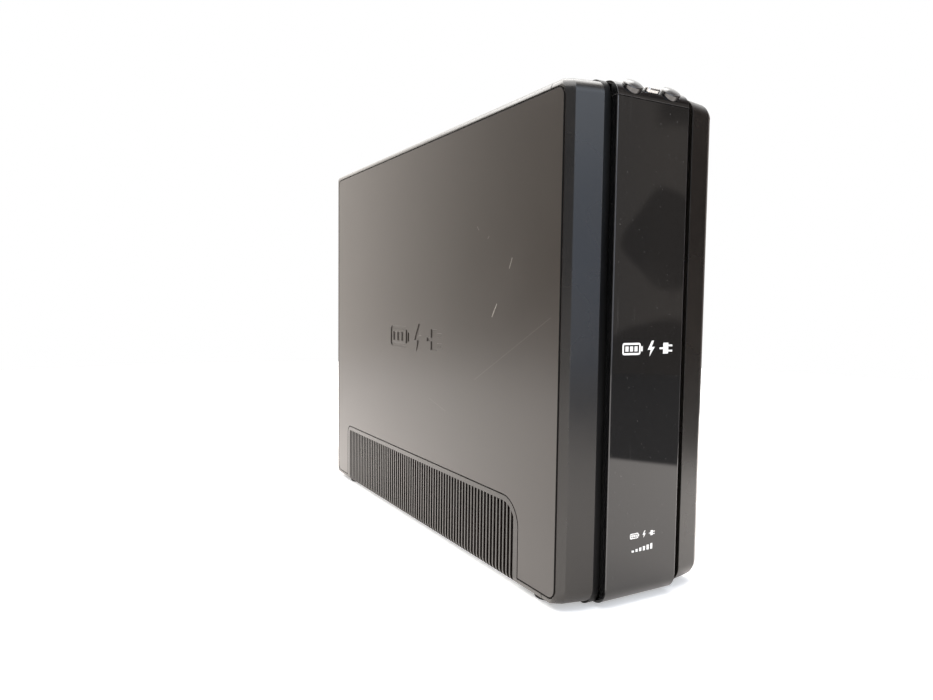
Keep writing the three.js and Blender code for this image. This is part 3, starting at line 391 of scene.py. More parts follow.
# Each row: colour, colour where rubbed, roughness from and to, scale of the grain and its depth in metres,
# how far the edges are rubbed, how much dust lies on it, and the specular level.
mouldedFinishes = {
    "satinCase": ((0.0098, 0.0085, 0.0072), (0.07, 0.063, 0.057), 0.24, 0.29, 1500.0, 0.00003, 0.12, 0.08, 0.5),
    "blackPlastic": ((0.014, 0.013, 0.013), (0.07, 0.065, 0.06), 0.42, 0.56, 1100.0, 0.00006, 0.25, 0.15, 0.45),
    "grooveBlack": ((0.003, 0.003, 0.003), (0.02, 0.02, 0.02), 0.34, 0.46, 1300.0, 0.00002, 0.15, 0.06, 0.25),
    "socketPlastic": ((0.016, 0.016, 0.017), (0.08, 0.08, 0.08), 0.34, 0.46, 1300.0, 0.00003, 0.35, 0.12, 0.5),
    "breakerPlastic": ((0.018, 0.018, 0.018), (0.10, 0.10, 0.10), 0.30, 0.42, 1200.0, 0.00003, 0.40, 0.12, 0.5),
    "jackPlastic": ((0.021, 0.021, 0.023), (0.10, 0.10, 0.10), 0.36, 0.50, 1200.0, 0.00003, 0.30, 0.12, 0.5),
    "batteryCase": ((0.030, 0.031, 0.034), (0.13, 0.13, 0.13), 0.42, 0.58, 700.0, 0.00010, 0.45, 0.25, 0.5),
    "relayCase": ((0.012, 0.035, 0.085), (0.12, 0.16, 0.22), 0.28, 0.40, 1100.0, 0.00002, 0.30, 0.15, 0.5),
    "footRubber": ((0.013, 0.013, 0.013), (0.05, 0.05, 0.05), 0.68, 0.84, 800.0, 0.00012, 0.30, 0.30, 0.3),
    "buttonDark": ((0.014, 0.0125, 0.012), (0.10, 0.095, 0.09), 0.15, 0.22, 1400.0, 0.00002, 0.25, 0.10, 1.0),
}


def makeMoulded(name, values):
    colour, worn, smoothest, roughest, grainScale, grainDepth, rub, dust, specular = values
    material, tree, place = newFinish(name)
    grain = useEffect(tree, "mouldGrain", Vector=place, Scale=grainScale)
    rubbed = useEffect(tree, "edgeRub", Vector=place, Scale=70.0, Amount=rub)["Mask"]
    dusty = useEffect(tree, "dustFall", Vector=place, Amount=dust)["Mask"]
    paler = opaque([part * patchLift for part in colour])
    toned = colourMix(tree, spanNode(tree, grain["Tone"], 0.3, 0.7), opaque(colour), paler)
    aged = colourMix(tree, rubbed, toned, opaque(worn))
    covered = colourMix(tree, dusty, aged, opaque(dustColour))
    rough = spanNode(tree, grain["Tone"], 0.3, 0.7, smoothest, roughest)
    rougher = mathNode(tree, "MULTIPLY_ADD", dusty, 0.4, mathNode(tree, "MULTIPLY_ADD", rubbed, 0.15, rough))
    closeFinish(tree, {
        "Base Color": covered,
        "Roughness": rougher,
        "Specular IOR Level": specular,
        "Normal": bumpNode(tree, grain["Height"], 0.5, grainDepth),
    })
    return material


skinFinish = {
    "colour": (0.0172, 0.0140, 0.0118),
    "paler": (0.0215, 0.0180, 0.0154),
    "scuff": (0.36, 0.34, 0.31),
    # painted shade: colour of the bevel faces in the edge mask, darkened where shade falls in the seam between
    # the side panel and the case
    "seam": (0.0025, 0.0022, 0.002),
    "smoothest": 0.275,
    "roughest": 0.305,
    "grain": 1700.0,
    "dust": 0.1,
    "smudges": 0.004,
    "rightShare": 0.35,    # how much of the marks shows on the right side
    "scrapes": [    # from y, z to y, z, and width, in millimetres, then how pale
        (-114.5, 175.5, -109.0, 167.5, 0.7, 0.55),
        (-131.5, 203.5, -128.5, 197.5, 0.6, 0.4),
        (-172.0, 168.0, -88.0, 125.0, 0.5, 0.06),
        (-91.0, 224.0, -89.0, 226.0, 0.9, 0.15),
        (-104.0, 219.0, -102.5, 217.5, 0.8, 0.15),
        (-20.0, 104.0, -46.0, 98.0, 0.6, 0.06),
    ],
}


def makeSatinSkin():
    material, tree, place = newFinish("satinSkin")
    grain = useEffect(tree, "mouldGrain", Vector=place, Scale=skinFinish["grain"])
    seam = addNode(tree, "ShaderNodeAttribute", attribute_name="edgeMask").outputs["Fac"]
    dusty = useEffect(tree, "dustFall", Vector=place, Amount=skinFinish["dust"])["Mask"]
    flat = vectorNode(tree, "MULTIPLY", place, (0.0, 1.0, 1.0))
    smudge = useEffect(tree, "smudges", Vector=place, Scale=9.0)["Mask"]
    marks = mathNode(tree, "MULTIPLY", smudge, skinFinish["smudges"])
    for startY, startZ, endY, endZ, width, pale in skinFinish["scrapes"]:
        mark = useEffect(
            tree, "scrape", Vector=flat,
            Start=(0, startY * millimetre, startZ * millimetre),
            End=(0, endY * millimetre, endZ * millimetre),
            Width=width * millimetre,
        )["Mask"]
        marks = mathNode(tree, "MAXIMUM", marks, mathNode(tree, "MULTIPLY", mark, pale))
    shown = spanNode(tree, axisNode(tree, place, "X"), -0.01, 0.01, 1.0, skinFinish["rightShare"])
    marks = mathNode(tree, "MULTIPLY", marks, shown)
    tone = spanNode(tree, grain["Tone"], 0.1, 0.9, smooth=False)
    base = colourMix(tree, tone, opaque(skinFinish["colour"]), opaque(skinFinish["paler"]))
    # painted shade in the seam: bevel faces marked in the edge mask take the dark seam colour, are rougher and
    # less specular
    withPaintedSeamShade = colourMix(tree, seam, base, opaque(skinFinish["seam"]))
    scuffed = colourMix(tree, marks, withPaintedSeamShade, opaque(skinFinish["scuff"]))
    rough = spanNode(tree, tone, 0.0, 1.0, skinFinish["smoothest"], skinFinish["roughest"])
    rougher = mathNode(tree, "MULTIPLY_ADD", marks, 0.25, rough)
    closeFinish(tree, {
        "Base Color": colourMix(tree, dusty, scuffed, opaque(dustColour)),
        "Roughness": mathNode(tree, "MULTIPLY_ADD", seam, 0.3, rougher),
        "Specular IOR Level": spanNode(tree, seam, 0.0, 1.0, 0.5, 0.1),
        "Normal": bumpNode(tree, grain["Height"], 0.12, 0.00001),
    })
    return material


glossFinish = {
    "colour": (0.0035, 0.0036, 0.004),
    # painted highlight: paler colour of the bevel faces in the edge mask, standing in for light caught on the
    # fascia's upright edges
    "edge": (0.042, 0.041, 0.042),
    "dirt": (0.16, 0.155, 0.15),
    "clean": 0.035,
    "smeared": 0.10,
    "scratches": 0.06,
    "dust": 0.12,
}


def makeGlossBlack():
    material, tree, place = newFinish("glossBlack")
    smudge = useEffect(tree, "smudges", Vector=place, Scale=28.0)["Mask"]
    stretch, amount = (700.0, 700.0, 28.0), glossFinish["scratches"]
    hair = useEffect(tree, "hairScratches", Vector=place, Stretch=stretch, Amount=amount)["Mask"]
    dusty = useEffect(tree, "dustFall", Vector=place, Amount=glossFinish["dust"])["Mask"]
    specks = spanNode(tree, noiseNode(tree, place, 700.0, 1.0), 0.75, 0.79, 0.0, 0.25)
    dirt = mathNode(tree, "MAXIMUM", mathNode(tree, "MAXIMUM", hair, specks), dusty)
    edge = addNode(tree, "ShaderNodeAttribute", attribute_name="edgeMask").outputs["Fac"]
    # painted highlight: bevel faces marked in the edge mask take the paler edge colour
    black = colourMix(tree, edge, opaque(glossFinish["colour"]), opaque(glossFinish["edge"]))
    grey = colourMix(tree, dirt, black, opaque(glossFinish["dirt"]))
    rough = spanNode(tree, smudge, 0.0, 1.0, glossFinish["clean"], glossFinish["smeared"])
    wavy = noiseNode(tree, place, 16.0, 1.0)
    closeFinish(tree, {
        "Base Color": grey,
        "Roughness": mathNode(tree, "MULTIPLY_ADD", dirt, 0.4, rough),
        "Specular IOR Level": 0.5,
        "Coat Weight": 0.3,
        "Coat Roughness": 0.03,
        "Normal": bumpNode(tree, wavy, 0.15, 0.0004),
    })
    return material


# Each row: colour, second colour, roughness from and to, scale of the grain along x, y and z, its depth in
# metres, and how far it has rusted.
metalFinishes = {
    "silver": ((0.46, 0.45, 0.44), (0.56, 0.55, 0.54), 0.22, 0.32, (900.0, 300.0, 300.0), 0.00001, 0.0),
    "zincSteel": ((0.17, 0.17, 0.175), (0.26, 0.26, 0.255), 0.30, 0.46, (260.0, 260.0, 260.0), 0.00002, 0.12),
    "laminations": ((0.10, 0.10, 0.105), (0.26, 0.25, 0.24), 0.34, 0.55, (1900.0, 20.0, 20.0), 0.00012, 0.25),
    "sinkAluminium": ((0.34, 0.345, 0.35), (0.44, 0.44, 0.44), 0.30, 0.45, (60.0, 1400.0, 60.0), 0.00003, 0.0),
}
rustColour = (0.16, 0.07, 0.03)
bareMetal = (0.80, 0.80, 0.78)


def makeMetal(name, values):
    colour, second, smoothest, roughest, stretch, depth, rust = values
    material, tree, place = newFinish(name)
    grain = noiseNode(tree, vectorNode(tree, "MULTIPLY", place, stretch), 1.0, 2.0, 0.6)
    cells = addNode(tree, "ShaderNodeTexVoronoi", {"Vector": place, "Scale": 210.0}).outputs["Color"]
    cellTone = vectorNode(tree, "DOT_PRODUCT", cells, (0.33, 0.33, 0.33), result="Value")
    spangle = mathNode(tree, "MULTIPLY", cellTone, 0.5)
    tone = mathNode(tree, "MULTIPLY_ADD", grain, 0.5, spangle)
    base = colourMix(tree, spanNode(tree, tone, 0.25, 0.75), opaque(colour), opaque(second))
    spots = spanNode(tree, noiseNode(tree, place, 90.0, 5.0, 0.7), 0.55, 0.75)
    rusty = mathNode(tree, "MULTIPLY", spots, rust)
    rubbed = useEffect(tree, "edgeRub", Vector=place, Scale=90.0, Amount=0.4)["Mask"]
    brown = colourMix(tree, rusty, base, opaque(rustColour))
    bright = colourMix(tree, rubbed, brown, opaque(bareMetal))
    closeFinish(tree, {
        "Base Color": bright,
        "Metallic": spanNode(tree, rusty, 0.0, 0.3, 1.0, 0.3),
        "Roughness": spanNode(tree, tone, 0.25, 0.75, smoothest, roughest),
        "Normal": bumpNode(tree, grain, 0.6, depth),
    })
    return material


boardFinish = {
    "mask": (0.012, 0.085, 0.032),
    "track": (0.02, 0.15, 0.06),
    "tinned": (0.62, 0.60, 0.55),
    "trackScale": 210.0,
    "padScale": 330.0,
    "dust": 0.2,
}


def makeCircuitBoard():
    material, tree, place = newFinish("circuitBoard")
    trackSockets = {"Vector": place, "Scale": boardFinish["trackScale"]}
    cells = addNode(tree, "ShaderNodeTexVoronoi", trackSockets, distance="CHEBYCHEV", feature="F1")
    track = spanNode(tree, cells.outputs["Distance"], 0.28, 0.33)
    padSockets = {"Vector": place, "Scale": boardFinish["padScale"], "Randomness": 0.25}
    pads = addNode(tree, "ShaderNodeTexVoronoi", padSockets)
    pad = spanNode(tree, pads.outputs["Distance"], 0.17, 0.2, 1.0, 0.0)
    chosen = mathNode(tree, "MULTIPLY", pad, spanNode(tree, noiseNode(tree, place, 60.0), 0.5, 0.56))
    mask = colourMix(tree, track, opaque(boardFinish["mask"]), opaque(boardFinish["track"]))
    tinned = colourMix(tree, chosen, mask, opaque(boardFinish["tinned"]))
    dusty = useEffect(tree, "dustFall", Vector=place, Amount=boardFinish["dust"])["Mask"]
    closeFinish(tree, {
        "Base Color": colourMix(tree, dusty, tinned, opaque(dustColour)),
        "Metallic": mathNode(tree, "MULTIPLY", chosen, 0.9),
        "Roughness": spanNode(tree, chosen, 0.0, 1.0, 0.38, 0.3),
        "Normal": bumpNode(tree, mathNode(tree, "ADD", track, chosen), 0.5, 0.00005),
    })
    return material


def waveNode(tree, vector, scale, direction, **sockets):
    sockets.update({"Vector": vector, "Scale": scale})
    return addNode(tree, "ShaderNodeTexWave", sockets, bands_direction=direction).outputs["Fac"]


windingFinish = {
    "copper": (0.17, 0.045, 0.012),
    "bright": (0.40, 0.15, 0.06),
    "tape": (0.34, 0.22, 0.04),
    "turnScale": 160.0,
    "tapeStretch": (4.0, 4.0, 60.0),
}


def makeWinding():
    material, tree, place = newFinish("winding")
    turns = waveNode(tree, place, windingFinish["turnScale"], "Z", Distortion=0.6, Detail=1.0)
    stretched = vectorNode(tree, "MULTIPLY", place, windingFinish["tapeStretch"])
    tape = spanNode(tree, noiseNode(tree, stretched, 1.0), 0.44, 0.5)
    copper = colourMix(tree, turns, opaque(windingFinish["copper"]), opaque(windingFinish["bright"]))
    wrapped = colourMix(tree, tape, copper, opaque(windingFinish["tape"]))
    closeFinish(tree, {
        "Base Color": wrapped,
        "Metallic": spanNode(tree, tape, 0.0, 1.0, 0.9, 0.0),
        "Roughness": spanNode(tree, tape, 0.0, 1.0, 0.3, 0.42),
        "Normal": bumpNode(tree, turns, 0.8, 0.0002),
    })
    return material


sleeveFinish = {
    "blue": (0.006, 0.016, 0.07),
    "paler": (0.012, 0.03, 0.11),
    "cap": (0.45, 0.46, 0.48),
    "capFrom": 0.256,    # height where the bare end of the can begins
    "blur": 0.0005,
}


def makeSleeve():
    material, tree, place = newFinish("capacitorSleeve")
    capFrom, blur = sleeveFinish["capFrom"], sleeveFinish["blur"]
    cap = spanNode(tree, axisNode(tree, place, "Z"), capFrom - blur, capFrom + blur)
    mottle = noiseNode(tree, place, 120.0, 3.0)
    blue = colourMix(tree, mottle, opaque(sleeveFinish["blue"]), opaque(sleeveFinish["paler"]))
    closeFinish(tree, {
        "Base Color": colourMix(tree, cap, blue, opaque(sleeveFinish["cap"])),
        "Roughness": spanNode(tree, mottle, 0.3, 0.7, 0.2, 0.34),
        "Coat Weight": 0.3,
        "Normal": bumpNode(tree, mottle, 0.3, 0.0001),
    })
    return material


lcdFinish = {"dark": (0.05, 0.065, 0.06), "pale": (0.07, 0.09, 0.08), "rows": 320.0}


def makeLcdGlass():
    material, tree, place = newFinish("lcdGlass")
    rows = waveNode(tree, place, lcdFinish["rows"], "Z")
    smudge = useEffect(tree, "smudges", Vector=place, Scale=40.0)["Mask"]
    closeFinish(tree, {
        "Base Color": colourMix(tree, rows, opaque(lcdFinish["dark"]), opaque(lcdFinish["pale"])),
        "Roughness": spanNode(tree, smudge, 0.0, 1.0, 0.06, 0.2),
        "Coat Weight": 0.5,
    })
    return material


strapFinish = {
    "gaps": (0.20, 0.20, 0.19),
    "threads": (0.46, 0.46, 0.44),
    "grime": (0.14, 0.12, 0.10),
    "weave": 260.0,
}


def makeStrap():
    material, tree, place = newFinish("strap")
    warp = waveNode(tree, place, strapFinish["weave"], "Y", Distortion=0.4)
    weft = waveNode(tree, place, strapFinish["weave"], "Z", Distortion=0.4)
    thread = mathNode(tree, "MAXIMUM", warp, weft)
    grimy = spanNode(tree, noiseNode(tree, place, 40.0, 4.0), 0.5, 0.8, 0.0, 0.4)
    cloth = colourMix(tree, thread, opaque(strapFinish["gaps"]), opaque(strapFinish["threads"]))
    closeFinish(tree, {
        "Base Color": colourMix(tree, grimy, cloth, opaque(strapFinish["grime"])),
        "Roughness": spanNode(tree, thread, 0.0, 1.0, 0.8, 0.62),
        "Normal": bumpNode(tree, thread, 0.7, 0.00015),
    })
    return material


inkFinish = {"white": (0.86, 0.86, 0.84), "worn": (0.60, 0.60, 0.58), "wear": 900.0}


def makeWhiteInk():
    material, tree, place = newFinish("whiteInk")
    worn = noiseNode(tree, place, inkFinish["wear"], 3.0, 0.6)
    faded = spanNode(tree, worn, 0.55, 0.75)
    closeFinish(tree, {
        "Base Color": colourMix(tree, faded, opaque(inkFinish["white"]), opaque(inkFinish["worn"])),
        "Roughness": spanNode(tree, worn, 0.3, 0.7, 0.35, 0.5),
    })
    return material


finishes = {name: makeMoulded(name, values) for name, values in mouldedFinishes.items()}
finishes.update({name: makeMetal(name, values) for name, values in metalFinishes.items()})
for makeFinish in (
    makeSatinSkin, makeGlossBlack, makeCircuitBoard, makeWinding,
    makeSleeve, makeLcdGlass, makeStrap, makeWhiteInk,
):
    finish = makeFinish()
    finishes[finish.name] = finish
finishOfSlot = {
    "satin_case": "satinCase", "satin_skin": "satinSkin", "black_plastic": "blackPlastic",
    "groove_black": "grooveBlack", "gloss_black": "glossBlack", "button_dark": "buttonDark",
    "silver": "silver", "lcd_glass": "lcdGlass", "circuit_board": "circuitBoard",
    "battery_case": "batteryCase", "strap": "strap", "socket_plastic": "socketPlastic",
    "laminations": "laminations", "winding": "winding", "zinc_steel": "zincSteel",
    "breaker_plastic": "breakerPlastic", "jack_plastic": "jackPlastic", "sink_aluminium": "sinkAluminium",
    "capacitor_sleeve": "capacitorSleeve", "relay_case": "relayCase", "foot_rubber": "footRubber",
}
for node, cadPiece in frame["nodes"].items():
    cadPiece.data.materials.append(finishes[finishOfSlot[slotOf[node]]])
print("finishes are made")

rounding = {    # angles in degrees, lengths in millimetres
    "smoothAngle": 40,
    "crease": 28,
    "gentleCrease": 17,
    "flat": 1.0,
    "weld": 0.002,
    "smallest": 0.06,
    "signCrease": 60,
    "signRim": 0.15,
}


def addPiece(name, shape, finish):
    mesh = bpy.data.meshes.new(name)
    shape.to_mesh(mesh)
    shape.free()
    if "custom_normal" in mesh.attributes:
        mesh.attributes.remove(mesh.attributes["custom_normal"])
    for face in mesh.polygons:
        face.use_smooth = True
    mesh.set_sharp_from_angle(angle=math.radians(rounding["smoothAngle"]))
    mesh.materials.append(finishes[finish])
    piece = bpy.data.objects.new(name, mesh)
    bpy.context.scene.collection.objects.link(piece)
    evened = piece.modifiers.new("evenNormals", "WEIGHTED_NORMAL")
    evened.keep_sharp = True
    return piece


def creases(shape, angle=rounding["crease"]):
    least = math.radians(angle)
    return [edge for edge in shape.edges if edge.is_manifold and edge.calc_face_angle(0.0) > least]


def roundEdges(shape, edges, width, segments=2, rub=1.0):
    # the edge mask marks the new bevel faces: satinSkin paints seam shade there, glossBlack paints a highlight
    # there, and the moulded and metal finishes show edge wear there
    mask = shape.faces.layers.float.get("edgeMask") or shape.faces.layers.float.new("edgeMask")
    made = bmesh.ops.bevel(
        shape, geom=edges, offset=width, offset_type="OFFSET", segments=segments, profile=0.5,
        affect="EDGES", clamp_overlap=False, material=-1, loop_slide=True,
    )
    for face in made["faces"]:
        face[mask] = rub


def copyOfNode(node):
    shape = bmesh.new()
    shape.from_mesh(frame["nodes"][node].data)
    bmesh.ops.remove_doubles(shape, verts=shape.verts, dist=rounding["weld"] * millimetre)
    return shape


def cleaned(shape):
    flat = math.radians(rounding["flat"])
    bmesh.ops.dissolve_degenerate(shape, dist=rounding["smallest"] * millimetre, edges=shape.edges)
    bmesh.ops.dissolve_limit(shape, angle_limit=flat, verts=shape.verts, edges=shape.edges)
    return shape


def softened(node, name, width, cutter=None, crease=rounding["crease"]):
    shape = cleaned(copyOfNode(node))
    roundEdges(shape, creases(shape, crease), width * millimetre, segments=3)
    if cutter:    # cut after the outline is rounded, because that bevel swallows the sign's fine strokes
        shape = cleaned(cutAway(shape, cutter))
        # the sign's rims are left out of the edge mask, so they get no painted seam shade
        roundEdges(shape, creases(shape, rounding["signCrease"]), rounding["signRim"] * millimetre, rub=0.0)
    piece = addPiece(name, shape, finishOfSlot[slotOf[node]])
    return settle(piece, node)


def settle(piece, *nodes):
    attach(piece, bodyOf[nodes[0]])
    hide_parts(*nodes)
    return piece


def cutAway(shape, cutter):
    holder = bpy.data.objects.new("holder", bpy.data.meshes.new("holder"))
    tool = bpy.data.objects.new("tool", bpy.data.meshes.new("tool"))
    for made, source in ((holder, shape), (tool, cutter)):
        source.to_mesh(made.data)
        source.free()
        bpy.context.scene.collection.objects.link(made)
    cut = holder.modifiers.new("cut", "BOOLEAN")
    cut.object, cut.operation, cut.solver = tool, "DIFFERENCE", "EXACT"
    result = bmesh.new()
    result.from_object(holder, bpy.context.evaluated_depsgraph_get())
    for made in (holder, tool):
        bpy.data.objects.remove(made)
    return result


# Plain signs: a battery, a bolt and a plug, each in a height of one unit.
signs = {
    "gap": 0.42,
    "batteryLong": 1.5,
    "batteryHigh": 0.76,
    "corner": 0.16,
    "wall": 0.13,
    "knobLeft": 1.54,
    "knobWidth": 0.13,
    "cells": 3,
    "cellLeft": 0.25,
    "cellStep": 0.37,
    "cellWidth": 0.25,
    "cellHigh": 0.32,    # and the knob's height
    "bolt": [(0.34, 1.0), (0.0, 0.42), (0.26, 0.42), (0.16, 0.0), (0.6, 0.6), (0.33, 0.6), (0.52, 1.0)],
    "plug": [
        (0.0, 0.44), (0.3, 0.44), (0.3, 0.15), (0.75, 0.15), (0.75, 0.27), (1.1, 0.27), (1.1, 0.39),
        (0.75, 0.39), (0.75, 0.61), (1.1, 0.61), (1.1, 0.73), (0.75, 0.73), (0.75, 0.85), (0.3, 0.85),
        (0.3, 0.56), (0.0, 0.56),
    ],
}


def flatFace(shape, points, left=0.0):
    return shape.faces.new([shape.verts.new((left + x, 0.0, z)) for x, z in points])


def flatBar(shape, left, low, width, height):
    return flatFace(shape, [(0.0, low), (width, low), (width, low + height), (0.0, low + height)], left)


def middleBar(shape, left, width, height):
    return flatBar(shape, left, (1 - height) / 2, width, height)


def drawBattery(shape):
    outline = middleBar(shape, 0.0, signs["batteryLong"], signs["batteryHigh"])
    bmesh.ops.bevel(
        shape, geom=list(outline.verts), offset=signs["corner"], offset_type="OFFSET", segments=5, profile=0.5,
        affect="VERTICES", material=-1,
    )
    case = max(shape.faces, key=lambda face: face.calc_area())
    bmesh.ops.inset_individual(shape, faces=[case], thickness=signs["wall"])
    bmesh.ops.delete(shape, geom=[case], context="FACES_ONLY")
    middleBar(shape, signs["knobLeft"], signs["knobWidth"], signs["cellHigh"])
    for step in range(signs["cells"]):
        left = signs["cellLeft"] + signs["cellStep"] * step
        middleBar(shape, left, signs["cellWidth"], signs["cellHigh"])


def drawSigns(shape, firstGap=signs["gap"], secondGap=signs["gap"]):
    drawBattery(shape)
    boltLeft = signs["knobLeft"] + signs["knobWidth"] + firstGap
    plugLeft = boltLeft + max(x for x, z in signs["bolt"]) + secondGap
    flatFace(shape, signs["bolt"], boltLeft)
    flatFace(shape, signs["plug"], plugLeft)
    return plugLeft + max(x for x, z in signs["plug"])


def raised(shape):    # gives a flat drawing a depth of one unit
    faces = list(shape.faces)
    bmesh.ops.recalc_face_normals(shape, faces=faces)
    made = bmesh.ops.extrude_face_region(shape, geom=faces, use_keep_orig=True)
    moved = [item for item in made["geom"] if isinstance(item, bmesh.types.BMVert)]
    bmesh.ops.translate(shape, verts=moved, vec=(0.0, 1.0, 0.0))
    bmesh.ops.recalc_face_normals(shape, faces=shape.faces)


sideSign = {"height": 22, "middle": (7, 148.5), "depth": 0.6, "clear": 1.0}    # in millimetres


def sideSignCutter():
    shape = bmesh.new()
    width = drawSigns(shape)
    raised(shape)
    size = sideSign["height"] * millimetre
    reach = (sideSign["depth"] + sideSign["clear"]) * millimetre
    quarter = Matrix.Rotation(-math.pi / 2, 3, "Z")
    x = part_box("battery_cover")[0].x + sideSign["depth"] * millimetre - reach / 2
    y, z = (part * millimetre for part in sideSign["middle"])
    bmesh.ops.translate(shape, verts=shape.verts, vec=(-width / 2, -0.5, -0.5))
    bmesh.ops.scale(shape, verts=shape.verts, vec=(size, reach, size))
    bmesh.ops.rotate(shape, verts=shape.verts, cent=(0, 0, 0), matrix=quarter)
    bmesh.ops.translate(shape, verts=shape.verts, vec=(x, y, z))
    return shape


sideRounding = 0.6
softened("battery_cover", "batteryCover", sideRounding, cutter=sideSignCutter())
softened("side_skin", "rightSkin", sideRounding)
print("side covers are made")

casePieces = {    # rounding of each moulded edge, in millimetres
    "left_shell": 0.25, "right_shell": 0.25, "left_grille": 0.12, "right_grille": 0.12, "cover_latch": 0.3,
    "front_bezel": 0.3, "front_carrier": 0.25, "button_cap": 0.25, "rear_panel": 0.15,
    "mains_inlet": 0.25, "breaker_body": 0.3, "breaker_button": 0.3, "data_port": 0.15, "network_in_jack": 0.15,
    "network_out_jack": 0.15, "fan_frame": 0.3, "fan_rotor": 0.12, "foot_1": 0.5, "foot_2": 0.5, "foot_3": 0.5,
    "foot_4": 0.5, "battery_lower": 0.35, "battery_upper": 0.35, "pack_header": 0.3, "pack_strap": 0.15,
}
casePieces.update({f"outlet_{number}": 0.25 for number in range(1, 11)})


def pieceName(node):
    first, *rest = node.split("_")
    return first + "".join(word.capitalize() for word in rest)


gentlyBent = ("left_shell", "right_shell", "front_bezel")    # these also have shallow edges to round
for node, width in casePieces.items():
    crease = rounding["gentleCrease" if node in gentlyBent else "crease"]
    softened(node, pieceName(node), width, crease=crease)

fasciaEdges = {    # in millimetres
    "upright": 0.6,
    "steps": 6,
    "other": 0.3,
    "shortest": 100,    # an upright edge is longer than this
    "band": 1.0,    # and lies this near the front
}


def frontFascia():
    shape = cleaned(copyOfNode("fascia"))
    front = min(vert.co.y for vert in shape.verts) + fasciaEdges["band"] * millimetre
    upright = [
        edge for edge in creases(shape)
        if abs(edge.verts[0].co.z - edge.verts[1].co.z) > fasciaEdges["shortest"] * millimetre
        and max(vert.co.y for vert in edge.verts) < front
    ]
    # the upright front edges are marked in the edge mask, which glossBlack shows as a painted highlight; the
    # other edges are left unmarked
    roundEdges(shape, upright, fasciaEdges["upright"] * millimetre, fasciaEdges["steps"])
    roundEdges(shape, creases(shape), fasciaEdges["other"] * millimetre, rub=0.0)
    return settle(addPiece("frontFascia", shape, "glossBlack"), "fascia")


frontFascia()
print("moulded pieces are made")


buttons = {    # in millimetres
    "radius": 6.4,
    "squash": 0.78,    # the discs are this much shorter up the slope than across it
    "rise": 2.5,
    "shoulder": 0.45,    # share of the rise at which the rim begins
    "rim": 0.9,
    "rimRise": 0.75,    # height of the rim against its width
    "rimSteps": 6,
    "domeSteps": 8,
    "stem": 3.0,
    "slope": 45,
    "segments": 56,
    "weld": 0.00001,
    "inside": 0.002,    # how far each stays within its own box
    "menuLength": 10.4,
    "menuWidth": 4.8,
    "menuRise": 1.5,
    "menuRim": 0.9,
    "menuRimSteps": 5,
    "menuSegments": 46,
}


def turned(profile, segments):
    shape = bmesh.new()
    verts = [shape.verts.new((radius, 0.0, height)) for radius, height in profile]
    edges = [shape.edges.new(pair) for pair in zip(verts, verts[1:])]
    bmesh.ops.spin(
        shape, geom=verts + edges, cent=(0, 0, 0), axis=(0, 0, 1), angle=2 * math.pi, steps=segments,
        use_merge=True,
    )
    bmesh.ops.remove_doubles(shape, verts=shape.verts, dist=buttons["weld"])
    bmesh.ops.recalc_face_normals(shape, faces=shape.faces)
    return shape


def domedButton(node):
    radius, rise, rim = buttons["radius"], buttons["rise"], buttons["rim"]
    profile = [(0.0, -buttons["stem"]), (radius, -buttons["stem"])]
    for step in range(buttons["rimSteps"] + 1):    # the rim rolls over into the dome
        turn = math.pi / 2 * step / buttons["rimSteps"]
        height = rise * buttons["shoulder"] + rim * math.sin(turn) * buttons["rimRise"]
        profile.append((radius - rim * (1 - math.cos(turn)), height))
    edgeRadius, edgeHeight = profile[-1]
    for step in range(1, buttons["domeSteps"] + 1):
        left = 1 - step / buttons["domeSteps"]
        profile.append((edgeRadius * left, edgeHeight + (rise - edgeHeight) * (1 - left ** 2)))
    shape = turned(profile, buttons["segments"])
    bmesh.ops.scale(shape, verts=shape.verts, vec=(millimetre, millimetre * buttons["squash"], millimetre))
    return seatButton(node, shape)


def menuButton(node):
    radius = buttons["menuWidth"] / 2
    straight = buttons["menuLength"] / 2 - radius
    shape = bmesh.new()
    bmesh.ops.create_circle(shape, cap_ends=True, segments=buttons["menuSegments"], radius=radius)
    for vert in shape.verts:
        vert.co.x += math.copysign(straight, vert.co.x)
    made = bmesh.ops.extrude_face_region(shape, geom=list(shape.faces), use_keep_orig=True)
    top = [item for item in made["geom"] if isinstance(item, bmesh.types.BMVert)]
    bmesh.ops.translate(shape, verts=top, vec=(0, 0, buttons["stem"] + buttons["menuRise"]))
    bmesh.ops.recalc_face_normals(shape, faces=shape.faces)
    rim = [edge for edge in shape.edges if all(vert in top for vert in edge.verts)]
    roundEdges(shape, rim, buttons["menuRim"], buttons["menuRimSteps"])
    bmesh.ops.scale(shape, verts=shape.verts, vec=[millimetre] * 3)
    return seatButton(node, shape)


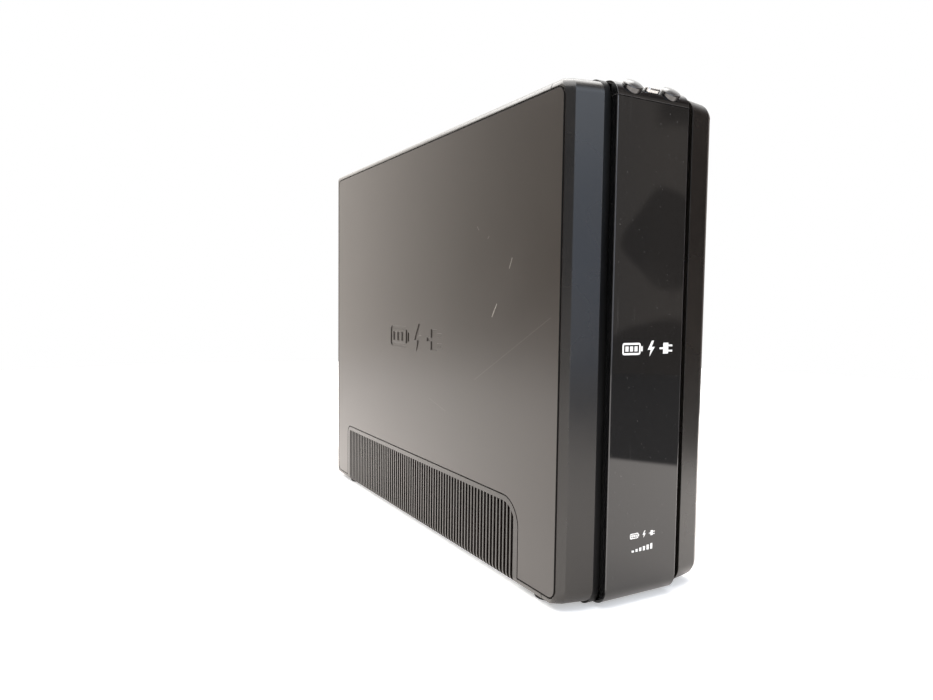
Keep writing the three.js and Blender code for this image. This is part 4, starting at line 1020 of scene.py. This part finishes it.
def seatButton(node, shape):
    tilt = Matrix.Rotation(math.radians(buttons["slope"]), 3, "X")
    bmesh.ops.rotate(shape, verts=shape.verts, cent=(0, 0, 0), matrix=tilt)
    low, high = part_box(node)
    front = min(vert.co.y for vert in shape.verts)
    top = max(vert.co.z for vert in shape.verts)
    inside = buttons["inside"] * millimetre
    shift = ((low.x + high.x) / 2, low.y - front + inside, high.z - top - inside)
    bmesh.ops.translate(shape, verts=shape.verts, vec=shift)
    return settle(addPiece(pieceName(node), shape, finishOfSlot[slotOf[node]]), node)


domedButton("mute_button")
domedButton("power_button")
menuButton("menu_button")
print("buttons are made")


frontMarks = {    # in millimetres
    "signHeight": 9.2,
    "signMiddle": 150.8,
    "smallHeight": 4.2,
    "smallMiddle": 41,
    "smallGaps": (0.63, 0.6),    # in heights of the sign
    "barsHeight": 3.4,
    "barsMiddle": 33,
    "lift": 0.05,
}
levelBars = {    # in heights of the tallest
    "count": 6,
    "step": 0.85,
    "width": 0.5,
    "lowest": 0.35,
    "rise": 0.13,
}


def addMark(name, shape, width, height, middle):
    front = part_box("fascia")[0].y
    raised(shape)
    size = height * millimetre
    lift = frontMarks["lift"] * millimetre
    bmesh.ops.translate(shape, verts=shape.verts, vec=(-width / 2, 0.0, -0.5))
    bmesh.ops.scale(shape, verts=shape.verts, vec=(size, lift, size))
    bmesh.ops.translate(shape, verts=shape.verts, vec=(0, front - lift, middle * millimetre))
    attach(addPiece(name, shape, "whiteInk"), "case")


def drawFrontMarks():
    large = bmesh.new()
    addMark("frontSigns", large, drawSigns(large), frontMarks["signHeight"], frontMarks["signMiddle"])
    small = bmesh.new()
    smallWidth = drawSigns(small, *frontMarks["smallGaps"])
    addMark("smallSigns", small, smallWidth, frontMarks["smallHeight"], frontMarks["smallMiddle"])
    bars = bmesh.new()
    for step in range(levelBars["count"]):
        left, height = levelBars["step"] * step, levelBars["lowest"] + levelBars["rise"] * step
        flatBar(bars, left, 0.0, levelBars["width"], height)
    addMark("levelBars", bars, left + levelBars["width"], frontMarks["barsHeight"], frontMarks["barsMiddle"])


drawFrontMarks()
print("front signs are made")


screwRounding = 0.2
for node in ("ground_screw", "panel_screw_1", "panel_screw_2", "panel_screw_3", "panel_screw_4"):
    softened(node, pieceName(node), screwRounding)
print("screws are made")
